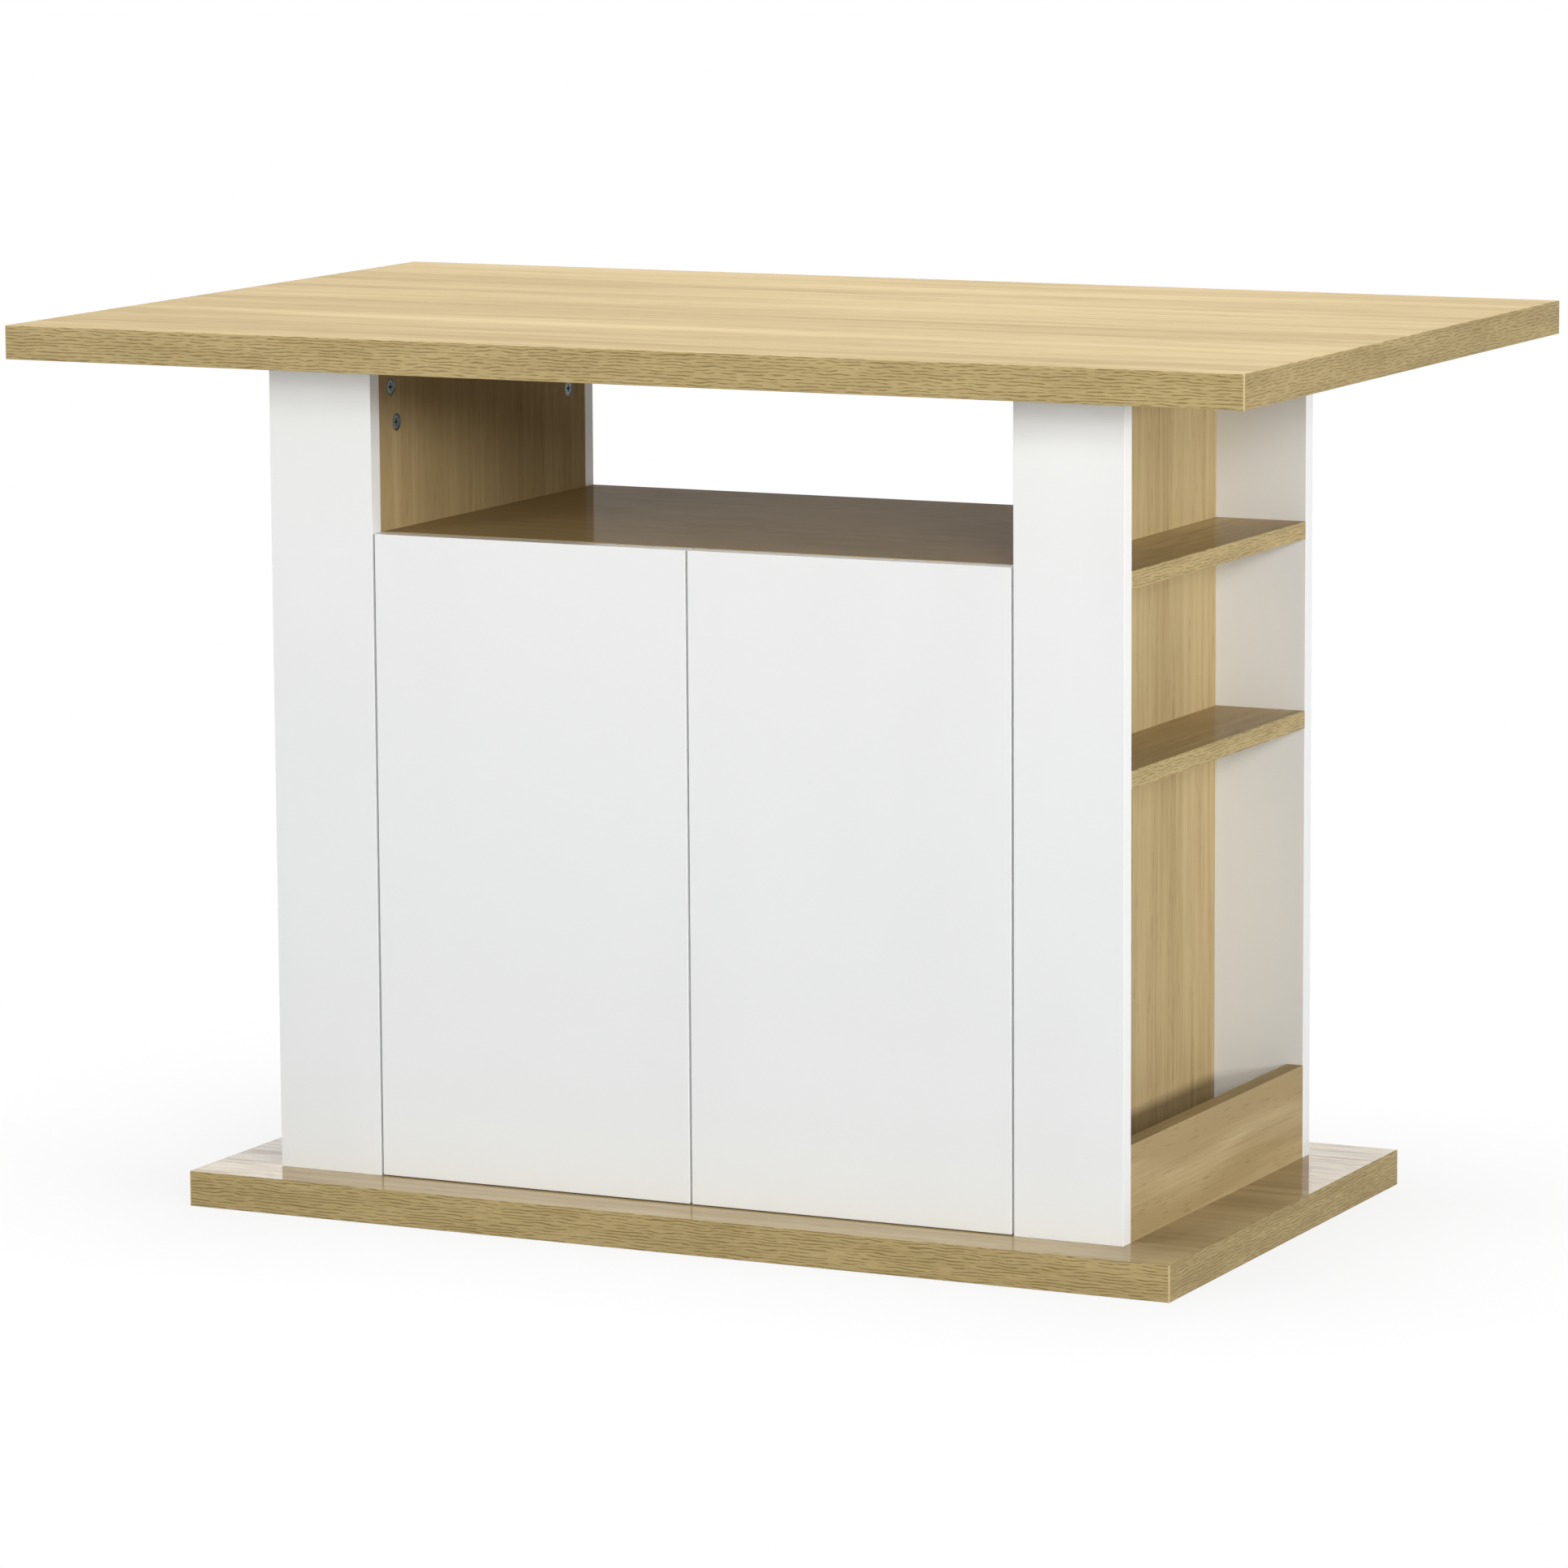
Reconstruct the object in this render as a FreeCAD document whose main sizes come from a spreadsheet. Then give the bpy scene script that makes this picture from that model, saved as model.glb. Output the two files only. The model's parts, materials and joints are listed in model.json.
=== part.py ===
import FreeCAD, Part
import os
from types import SimpleNamespace

import Sketcher

# Kitchen table on a cabinet: a thick oak top and plinth, a cupboard with two doors under an open
# compartment, and a tower of open shelves at each end. Millimetres, +Z up, doors facing -Y,
# origin on the ground at the middle of the table.

SIZES = {
    # Table top and plinth
    "top_length": 1100,
    "top_width": 700,
    "top_thickness": 28,
    "overall_height": 750,
    "plinth_length": 896,
    "plinth_width": 500,
    "plinth_thickness": 30,
    "edging_thickness": 1,
    "edging_round": 0.6,
    # Carcass boards
    "board_thickness": 15,
    "board_round": 0.4,
    "cupboard_width": 582,
    "post_width": 96,
    "body_depth": 400,
    "compartment_height": 149,
    "end_shelf_pitch": 160,
    "rail_height": 80,
    # Doors
    "door_gap": 2.2,
    "door_foot_gap": 1,
    "door_rear_gap": 5,
    # Inner shelf and its pins
    "shelf_pin_rise": 250,
    "inner_shelf_setback": 30,
    "inner_shelf_play": 0.5,
    "pin_hole_radius": 2.5,
    "pin_hole_depth": 9,
    "pin_hole_pitch": 32,
    "pin_hole_inset": 60,
    "pin_collar_radius": 4,
    "pin_collar_thickness": 1,
    "pin_stub_length": 8,
    # Fits shared by all the hardware
    "fit_clearance": 0.1,
    "running_clearance": 0.05,
    "bore_end_gap": 0.5,
    "overrun": 2,
    # Cam locks and their bolts
    "cam_radius": 7.5,
    "cam_depth": 12.5,
    "cam_setback": 30,
    "cam_inset": 21,
    "cam_level": 60,
    "floor_cam_offset": 130,
    "cam_slot_length": 9,
    "cam_slot_width": 1.8,
    "cam_slot_depth": 1.5,
    "cam_pocket_width": 7.6,
    "cam_pocket_reach": 4,
    "bolt_thread_radius": 2.5,
    "bolt_thread_length": 11,
    "bolt_collar_radius": 3.8,
    "bolt_collar_thickness": 2,
    "bolt_stem_radius": 2,
    "bolt_head_radius": 3.5,
    "bolt_head_length": 4,
    "bolt_bore_radius": 4,
    # Dowels
    "dowel_radius": 4,
    "dowel_length": 30,
    "dowel_chamfer": 1,
    "dowel_face_depth": 10,
    "post_dowel_inset": 24,
    "rail_dowel_inset": 20,
    "back_dowel_inset": 90,
    "back_dowel_pitch": 200,
    # Screws that hold the end shelves
    "shelf_screw_length": 40,
    "shelf_screw_radius": 2.5,
    "shelf_screw_head_radius": 4.5,
    "shelf_screw_head_height": 3,
    "shelf_screw_offset": 90,
    # Small pan-head screws of hinges, latches and strikes
    "screw_length": 12,
    "screw_radius": 1.75,
    "screw_head_radius": 3.2,
    "screw_head_height": 1.8,
    # Hinges
    "hinge_end_distance": 100,
    "pivot_inset": 10,
    "pivot_depth": 6.2,
    "pivot_pin_radius": 1.2,
    "cup_centre_inset": 20.5,
    "cup_radius": 17.5,
    "cup_depth": 12.6,
    "cup_wall": 0.8,
    "flange_thickness": 1,
    "flange_rim": 1,
    "flange_width": 18,
    "flange_length": 62,
    "cup_screw_spacing": 48,
    "knuckle_radius": 2.5,
    "arm_thickness": 2,
    "arm_width": 10,
    "arm_reach_clearance": 3,
    "arm_swing_clearance": 2.5,
    "arm_base_length": 40,
    "plate_thickness": 2.5,
    "plate_length": 30,
    "plate_height": 50,
    "plate_setback": 5,
    "plate_screw_spacing": 32,
    # Push latches and strike plates
    "latch_offset": 25,
    "latch_width": 16,
    "latch_height": 14,
    "latch_length": 50,
    "latch_ear_width": 9,
    "latch_ear_thickness": 3,
    "latch_ear_length": 16,
    "latch_ear_setback": 12,
    "plunger_radius": 4,
    "plunger_length": 30,
    "plunger_reach": 6,
    "plunger_travel": 4,
    "plunger_chamfer": 0.8,
    "strike_thickness": 1.5,
    "strike_width": 14,
    "strike_height": 24,
    "strike_top_gap": 2,
    "strike_screw_inset": 6,
    "strike_gap": 0.3,
}

doc = FreeCAD.newDocument("kitchen_table")
sheet = doc.addObject("Spreadsheet::Sheet", "Sizes")
for row, (alias, value) in enumerate(SIZES.items(), start=1):
    sheet.set(f"A{row}", alias)
    sheet.set(f"B{row}", str(value))
    sheet.setAlias(f"B{row}", alias)
doc.recompute()


class Length:
    """A sum of sheet cells with their factors, which can be written as an expression."""

    def __init__(self, terms):
        self.terms = {cell: factor for cell, factor in terms.items() if factor}

    def __add__(self, other):
        if isinstance(other, Length):
            cells = {**self.terms, **other.terms}
            return Length({cell: self.terms.get(cell, 0) + other.terms.get(cell, 0) for cell in cells})
        return self

    def __mul__(self, factor):
        return Length({cell: value * factor for cell, value in self.terms.items()})

    def __neg__(self):
        return self * -1

    def __sub__(self, other):
        return self + other * -1

    def __rsub__(self, other):
        return -self + other

    def __truediv__(self, count):
        return self * (1 / count)

    __radd__ = __add__
    __rmul__ = __mul__

    def text(self):
        return " + ".join(f"{factor} * {cell}" for cell, factor in self.terms.items()) or "0"

    def number(self):
        return sum(factor * sheet.get(cell.split(".")[1]) for cell, factor in self.terms.items())


def diagonal(across, along):
    return Length({f"sqrt(({across.text()})^2 + ({along.text()})^2)": 1})


def chord(radius, offset):
    return Length({f"sqrt(({radius.text()})^2 - ({offset.text()})^2)": 1})


mm = SimpleNamespace(**{alias: Length({f"Sizes.{alias}": 1}) for alias in SIZES})

DIRECTIONS = {
    "+X": FreeCAD.Vector(1, 0, 0),
    "-X": FreeCAD.Vector(-1, 0, 0),
    "+Y": FreeCAD.Vector(0, 1, 0),
    "-Y": FreeCAD.Vector(0, -1, 0),
    "+Z": FreeCAD.Vector(0, 0, 1),
    "-Z": FreeCAD.Vector(0, 0, -1),
}
OPPOSITE = {"+X": "-X", "-X": "+X", "+Y": "-Y", "-Y": "+Y", "+Z": "-Z", "-Z": "+Z"}
SIDES = {"left": -1, "right": 1}
OUTWARD = {"left": "-X", "right": "+X"}
# A block's edges, by the upright face that they bound
FACE_EDGES = {"-X": (1, 2, 3, 4), "+X": (5, 6, 7, 8), "-Y": (1, 5, 9, 10), "+Y": (3, 7, 11, 12)}
ALL_EDGES = tuple(range(1, 13))

nodes = {}


def bind(piece, name, value):
    if isinstance(value, Length):
        piece.setExpression(name, value.text())


def step(point, direction, distance):
    moved = list(point)
    axis = "XYZ".index(direction[1])
    moved[axis] = moved[axis] + (distance if direction[0] == "+" else -distance)
    return tuple(moved)


def place(piece, point, rotation=None):
    piece.Placement = FreeCAD.Placement(FreeCAD.Vector(), rotation or FreeCAD.Rotation())
    for axis, value in zip("xyz", point):
        bind(piece, f"Placement.Base.{axis}", value)


def facing(direction):
    return FreeCAD.Rotation(DIRECTIONS["+Z"], DIRECTIONS[direction])


def turned(along_x, along_z):
    x_axis = DIRECTIONS[along_x]
    z_axis = DIRECTIONS[along_z]
    return FreeCAD.Rotation(x_axis, z_axis.cross(x_axis), z_axis, "ZXY")


def block(name, low, high):
    box = doc.addObject("Part::Box", name)
    for side, start, end in zip(("Length", "Width", "Height"), low, high):
        bind(box, side, end - start)
    place(box, low)
    return box


def rod(name, point, direction, radius, length):
    cylinder = doc.addObject("Part::Cylinder", name)
    bind(cylinder, "Radius", radius)
    bind(cylinder, "Height", length)
    place(cylinder, point, facing(direction))
    return cylinder


def cone(name, point, direction, start_radius, end_radius, length):
    frustum = doc.addObject("Part::Cone", name)
    bind(frustum, "Radius1", start_radius)
    bind(frustum, "Radius2", end_radius)
    bind(frustum, "Height", length)
    place(frustum, point, facing(direction))
    return frustum


def rounded(box, alias, edges=ALL_EDGES):
    fillet = doc.addObject("Part::Fillet", f"{box.Name}_rounded")
    fillet.Base = box
    radius = sheet.get(alias)
    fillet.Edges = [(edge, radius, radius) for edge in edges]
    return fillet


def joined(name, pieces):
    if len(pieces) == 1:
        return pieces[0]
    fusion = doc.addObject("Part::MultiFuse", name)
    fusion.Shapes = pieces
    return fusion


def cut(name, base, tools):
    removal = doc.addObject("Part::Cut", name)
    removal.Base = base
    removal.Tool = joined(f"{name}_tools", tools)
    return removal


def lathe(name, profile):
    """A turned piece: its half outline, as radius and height, spun about the Z axis."""
    body = doc.addObject("PartDesign::Body", name)
    origin = {feature.Role: feature for feature in body.Origin.OriginFeatures}
    sketch = body.newObject("Sketcher::SketchObject", f"{name}_profile")
    sketch.AttachmentSupport = [(origin["XZ_Plane"], "")]
    sketch.MapMode = "FlatFace"
    corners = [[value.number() if value else 0 for value in corner] for corner in profile]
    count = len(profile)
    for index, corner in enumerate(corners):
        following = corners[(index + 1) % count]
        sketch.addGeometry(Part.LineSegment(FreeCAD.Vector(*corner, 0), FreeCAD.Vector(*following, 0)), False)
    for index in range(count):
        sketch.addConstraint(Sketcher.Constraint("Coincident", index, 2, (index + 1) % count, 1))
    for index, corner in enumerate(profile):
        for kind, axis, value in zip(("DistanceX", "DistanceY"), (-2, -1), corner):
            if value:
                fixed = sketch.addConstraint(Sketcher.Constraint(kind, -1, 1, index, 1, value.number()))
                sketch.setExpression(f"Constraints[{fixed}]", value.text())
            else:
                sketch.addConstraint(Sketcher.Constraint("PointOnObject", index, 1, axis))
    revolution = body.newObject("PartDesign::Revolution", f"{name}_turned")
    revolution.Profile = sketch
    revolution.ReferenceAxis = (origin["Z_Axis"], [""])
    revolution.Angle = 360
    return body


def copy_of(pattern, point, rotation):
    link = doc.addObject("App::Link", f"{pattern.Name}_copy")
    link.LinkedObject = pattern
    link.LinkTransform = True
    place(link, point, rotation)
    return link


def node(label, piece):
    piece.Label = label
    nodes[label] = piece


def group(label, pieces):
    compound = doc.addObject("Part::Compound", f"{label}_group")
    compound.Links = pieces
    node(label, compound)


class Board:
    """A rectangular board that collects its bores and is drilled at the end."""

    def __init__(self, label, low, high, soft_edges=True):
        self.label = label
        self.blank = block(f"{label}_blank", low, high)
        if soft_edges:
            self.blank = rounded(self.blank, "board_round")
        self.bores = []

    def bore(self, mouth, direction, radius, depth):
        start = step(mouth, OPPOSITE[direction], mm.overrun)
        self.bores.append(rod(f"{self.label}_bore", start, direction, radius, depth + mm.overrun))

    def sink(self, mouth, direction, mouth_radius, end_radius, depth):
        self.bores.append(cone(f"{self.label}_sink", mouth, direction, mouth_radius, end_radius, depth))

    def finish(self):
        node(self.label, cut(f"{self.label}_board", self.blank, self.bores) if self.bores else self.blank)


def span(side, near, far):
    return (near, far) if side > 0 else (-far, -near)


# Levels and faces that several pieces share
half_cupboard = mm.cupboard_width / 2
panel_outer = half_cupboard + mm.board_thickness
post_outer = half_cupboard + mm.post_width
half_depth = mm.body_depth / 2
panel_half_depth = half_depth - mm.board_thickness
deck = mm.plinth_thickness
ceiling = mm.overall_height - mm.top_thickness
floor_top = ceiling - mm.compartment_height
floor_under = floor_top - mm.board_thickness
door_foot = deck + mm.door_foot_gap
end_shelf_tops = {"upper": floor_top, "lower": floor_top - mm.end_shelf_pitch}
pin_level = deck + mm.shelf_pin_rise
latch_front = -panel_half_depth + mm.strike_thickness + mm.strike_gap + mm.plunger_reach
latch_axis = floor_under - mm.latch_height / 2
hinge_levels = (door_foot + mm.hinge_end_distance, floor_top - mm.hinge_end_distance)


# Hardware patterns: each is drawn once at the origin and copied into place
dowel = lathe("dowel", [
    (0, 0),
    (mm.dowel_radius - mm.dowel_chamfer, 0),
    (mm.dowel_radius, mm.dowel_chamfer),
    (mm.dowel_radius, mm.dowel_length - mm.dowel_chamfer),
    (mm.dowel_radius - mm.dowel_chamfer, mm.dowel_length),
    (0, mm.dowel_length),
])

bolt_end = mm.bolt_thread_length + mm.cam_setback
cam_bolt = lathe("cam_bolt", [
    (0, 0),
    (mm.bolt_thread_radius, 0),
    (mm.bolt_thread_radius, mm.bolt_thread_length),
    (mm.bolt_collar_radius, mm.bolt_thread_length),
    (mm.bolt_collar_radius, mm.bolt_thread_length + mm.bolt_collar_thickness),
    (mm.bolt_stem_radius, mm.bolt_thread_length + mm.bolt_collar_thickness),
    (mm.bolt_stem_radius, bolt_end - mm.bolt_head_length),
    (mm.bolt_head_radius, bolt_end - mm.bolt_head_length),
    (mm.bolt_head_radius, bolt_end),
    (0, bolt_end),
])

shelf_screw = lathe("shelf_screw", [
    (0, 0),
    (mm.shelf_screw_radius, mm.shelf_screw_radius),
    (mm.shelf_screw_radius, mm.shelf_screw_length - mm.shelf_screw_head_height),
    (mm.shelf_screw_head_radius, mm.shelf_screw_length),
    (0, mm.shelf_screw_length),
])

small_screw = lathe("small_screw", [
    (0, 0),
    (mm.screw_radius, mm.screw_radius),
    (mm.screw_radius, mm.screw_length),
    (mm.screw_head_radius, mm.screw_length),
    (mm.screw_head_radius, mm.screw_length + mm.screw_head_height / 2),
    (mm.screw_head_radius - mm.screw_head_height / 2, mm.screw_length + mm.screw_head_height),
    (0, mm.screw_length + mm.screw_head_height),
])

pin_peg_length = mm.pin_hole_depth - mm.bore_end_gap
pin_stub_radius = mm.pin_hole_radius - mm.fit_clearance
shelf_pin = lathe("shelf_pin", [
    (0, 0),
    (pin_stub_radius, 0),
    (pin_stub_radius, pin_peg_length),
    (mm.pin_collar_radius, pin_peg_length),
    (mm.pin_collar_radius, pin_peg_length + mm.pin_collar_thickness),
    (pin_stub_radius, pin_peg_length + mm.pin_collar_thickness),
    (pin_stub_radius, pin_peg_length + mm.pin_collar_thickness + mm.pin_stub_length),
    (0, pin_peg_length + mm.pin_collar_thickness + mm.pin_stub_length),
])

plunger = lathe("plunger", [
    (0, 0),
    (mm.plunger_radius, 0),
    (mm.plunger_radius, mm.plunger_length - mm.plunger_chamfer),
    (mm.plunger_radius - mm.plunger_chamfer, mm.plunger_length),
    (0, mm.plunger_length),
])


def make_cam_lock():
    """The disc faces +Z, its face at height zero, and takes the bolt's head from +X."""
    disc = rod("cam_disc", (0, 0, 0), "-Z", mm.cam_radius - mm.fit_clearance, mm.cam_depth - mm.bore_end_gap)
    bolt_axis = mm.board_thickness / 2
    pocket = block(
        "cam_pocket",
        (-mm.cam_pocket_reach, mm.cam_pocket_width / -2, -bolt_axis - mm.cam_pocket_width / 2),
        (mm.cam_radius + mm.overrun, mm.cam_pocket_width / 2, -bolt_axis + mm.cam_pocket_width / 2),
    )
    long_slot = block(
        "cam_slot_along",
        (mm.cam_slot_length / -2, mm.cam_slot_width / -2, -mm.cam_slot_depth),
        (mm.cam_slot_length / 2, mm.cam_slot_width / 2, mm.overrun),
    )
    cross_slot = block(
        "cam_slot_across",
        (mm.cam_slot_width / -2, mm.cam_slot_length / -2, -mm.cam_slot_depth),
        (mm.cam_slot_width / 2, mm.cam_slot_length / 2, mm.overrun),
    )
    return cut("cam_lock", disc, [pocket, long_slot, cross_slot])


# Hinge frame: origin on the pivot at the hinge's mid-height, +X towards the door's free edge, +Y to the rear
hinge_wall = -mm.pivot_inset - mm.door_gap
door_rear = mm.board_thickness - mm.pivot_depth
cup_centre = mm.cup_centre_inset - mm.pivot_inset
cup_outer = mm.cup_radius - mm.fit_clearance
cup_inner = cup_outer - mm.cup_wall
riser_near = door_rear + mm.flange_thickness + mm.arm_reach_clearance
riser_far = riser_near + mm.arm_thickness
bridge_near = diagonal(mm.pivot_inset, door_rear) + mm.arm_swing_clearance
bridge_far = bridge_near + mm.arm_thickness
arm_top = mm.arm_width / 2
plate_face = hinge_wall + mm.plate_thickness
plate_front = bridge_near + mm.plate_setback


def make_hinge_cup():
    """A drawn cup with a flange on the door's rear face."""
    flange_rear = door_rear + mm.flange_thickness
    shell = rod("cup_shell", (cup_centre, door_rear, 0), "-Y", cup_outer, mm.cup_depth - mm.fit_clearance)
    rim = rod("cup_rim", (cup_centre, door_rear, 0), "+Y", mm.cup_radius + mm.flange_rim, mm.flange_thickness)
    flange = block(
        "cup_flange",
        (cup_centre - mm.flange_width / 2, door_rear, mm.flange_length / -2),
        (cup_centre + mm.flange_width / 2, flange_rear, mm.flange_length / 2),
    )
    mouth = (cup_centre, flange_rear + mm.overrun, 0)
    inner_depth = mm.cup_depth - mm.fit_clearance - mm.cup_wall + mm.flange_thickness + mm.overrun
    tools = [rod("cup_hollow", mouth, "-Y", cup_inner, inner_depth)]
    for level in (mm.cup_screw_spacing / -2, mm.cup_screw_spacing / 2):
        start = (cup_centre, door_rear - mm.overrun, level)
        through = mm.flange_thickness + mm.overrun + mm.overrun
        tools.append(rod("cup_screw_hole", start, "+Y", mm.screw_radius + mm.fit_clearance, through))
    return cut("hinge_cup", joined("cup_blank", [shell, rim, flange]), tools)


def make_hinge_pin():
    half = chord(cup_inner, cup_centre + mm.pivot_pin_radius) - mm.fit_clearance
    return rod("hinge_pin", (0, 0, -half), "+Z", mm.pivot_pin_radius, half * 2)


def make_hinge_arm():
    """A gooseneck arm: knuckle, neck, riser, bridge and the base that lies on its plate."""
    knuckle = rod("arm_knuckle", (0, 0, -arm_top), "+Z", mm.knuckle_radius, mm.arm_width)
    half = mm.arm_thickness / 2
    neck = block("arm_neck", (0, -half, -arm_top), (riser_far, half, arm_top))
    riser = block("arm_riser", (riser_near, -half, -arm_top), (riser_far, bridge_far, arm_top))
    bridge = block("arm_bridge", (plate_face, bridge_near, -arm_top), (riser_far, bridge_far, arm_top))
    base = block(
        "arm_base",
        (plate_face, bridge_near, -arm_top),
        (plate_face + mm.arm_thickness, bridge_near + mm.arm_base_length, arm_top),
    )
    start = (0, 0, -arm_top - mm.overrun)
    eye = rod("arm_eye", start, "+Z", mm.pivot_pin_radius + mm.running_clearance,
              mm.arm_width + mm.overrun + mm.overrun)
    return cut("hinge_arm", joined("arm_blank", [knuckle, neck, riser, bridge, base]), [eye])


def make_hinge_plate():
    blank = block(
        "plate_blank",
        (hinge_wall, plate_front, mm.plate_height / -2),
        (plate_face, plate_front + mm.plate_length, mm.plate_height / 2),
    )
    holes = []
    for level in (mm.plate_screw_spacing / -2, mm.plate_screw_spacing / 2):
        start = (hinge_wall - mm.overrun, plate_front + mm.plate_length / 2, level)
        through = mm.plate_thickness + mm.overrun + mm.overrun
        holes.append(rod("plate_screw_hole", start, "+X", mm.screw_radius + mm.fit_clearance, through))
    return cut("hinge_plate", blank, holes)


cam_lock = make_cam_lock()
hinge_cup = make_hinge_cup()
hinge_pin = make_hinge_pin()
hinge_arm = make_hinge_arm()
hinge_plate = make_hinge_plate()


# Boards
def edged_board(label, length, width, low, high):
    """A thick board: its core, and an edge band on each of its four sides."""
    half_length = length / 2
    half_width = width / 2
    core_length = half_length - mm.edging_thickness
    core_width = half_width - mm.edging_thickness
    core = Board(label, (-core_length, -core_width, low), (core_length, core_width, high), soft_edges=False)
    bands = {
        "-Y": ((-half_length, -half_width, low), (half_length, -core_width, high)),
        "+Y": ((-half_length, core_width, low), (half_length, half_width, high)),
        "-X": ((-half_length, -core_width, low), (-core_length, core_width, high)),
        "+X": ((core_length, -core_width, low), (half_length, core_width, high)),
    }
    pieces = []
    for face, (band_low, band_high) in bands.items():
        edges = FACE_EDGES[face] if face[1] == "Y" else FACE_EDGES[face][1::2]
        pieces.append(rounded(block(f"{label}_band", band_low, band_high), "edging_round", edges))
    group(f"{label}_edging", pieces)
    return core


table_top = edged_board("table_top", mm.top_length, mm.top_width, ceiling, mm.overall_height)
plinth = edged_board("plinth", mm.plinth_length, mm.plinth_width, 0, deck)
compartment_floor = Board(
    "compartment_floor",
    (-half_cupboard, -panel_half_depth + mm.door_rear_gap, floor_under),
    (half_cupboard, half_depth, floor_top),
)
cabinet_back = Board(
    "cabinet_back",
    (-half_cupboard, panel_half_depth, deck),
    (half_cupboard, half_depth, floor_under),
)
inner_shelf_end = half_cupboard - mm.pin_collar_thickness - mm.inner_shelf_play
inner_shelf_under = pin_level + pin_stub_radius
inner_shelf = Board(
    "inner_shelf",
    (-inner_shelf_end, -panel_half_depth + mm.inner_shelf_setback, inner_shelf_under),
    (inner_shelf_end, panel_half_depth - mm.inner_shelf_play, inner_shelf_under + mm.board_thickness),
)
boards = [table_top, plinth, compartment_floor, cabinet_back, inner_shelf]


def screw(holders, seat, head_direction, seat_thickness):
    """A small screw whose head sits at the seat, with its pilot bore in the board behind."""
    board, copies = holders
    inward = OPPOSITE[head_direction]
    depth = mm.screw_length - seat_thickness + mm.bore_end_gap
    board.bore(step(seat, inward, seat_thickness), inward, mm.screw_radius + mm.fit_clearance, depth)
    copies.append(copy_of(small_screw, step(seat, inward, mm.screw_length), facing(head_direction)))


def pegged(copies, first, second, mouth, direction, first_depth):
    """A dowel across a joint: first_depth of it in the first board and the rest in the second."""
    back = OPPOSITE[direction]
    radius = mm.dowel_radius + mm.fit_clearance
    first.bore(mouth, back, radius, first_depth + mm.bore_end_gap)
    second.bore(mouth, direction, radius, mm.dowel_length - first_depth + mm.bore_end_gap)
    copies.append(copy_of(dowel, step(mouth, back, first_depth), facing(direction)))


def cammed(locks, bolts, board, mate, face_point, face_direction, edge_direction):
    """A cam lock in a board's face draws in a bolt that is screwed into the mating board."""
    board.bore(face_point, OPPOSITE[face_direction], mm.cam_radius, mm.cam_depth)
    centre = step(face_point, OPPOSITE[face_direction], mm.board_thickness / 2)
    mouth = step(centre, edge_direction, mm.cam_setback)
    board.bore(mouth, OPPOSITE[edge_direction], mm.bolt_bore_radius, mm.cam_setback)
    mate.bore(mouth, edge_direction, mm.bolt_thread_radius + mm.fit_clearance,
              mm.bolt_thread_length + mm.bore_end_gap)
    locks.append(copy_of(cam_lock, face_point, turned(edge_direction, face_direction)))
    tip = step(mouth, edge_direction, mm.bolt_thread_length)
    bolts.append(copy_of(cam_bolt, tip, facing(OPPOSITE[edge_direction])))


floor_locks = []
floor_bolts = []
back_dowels = []
pins = []
latch_screws = []

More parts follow.
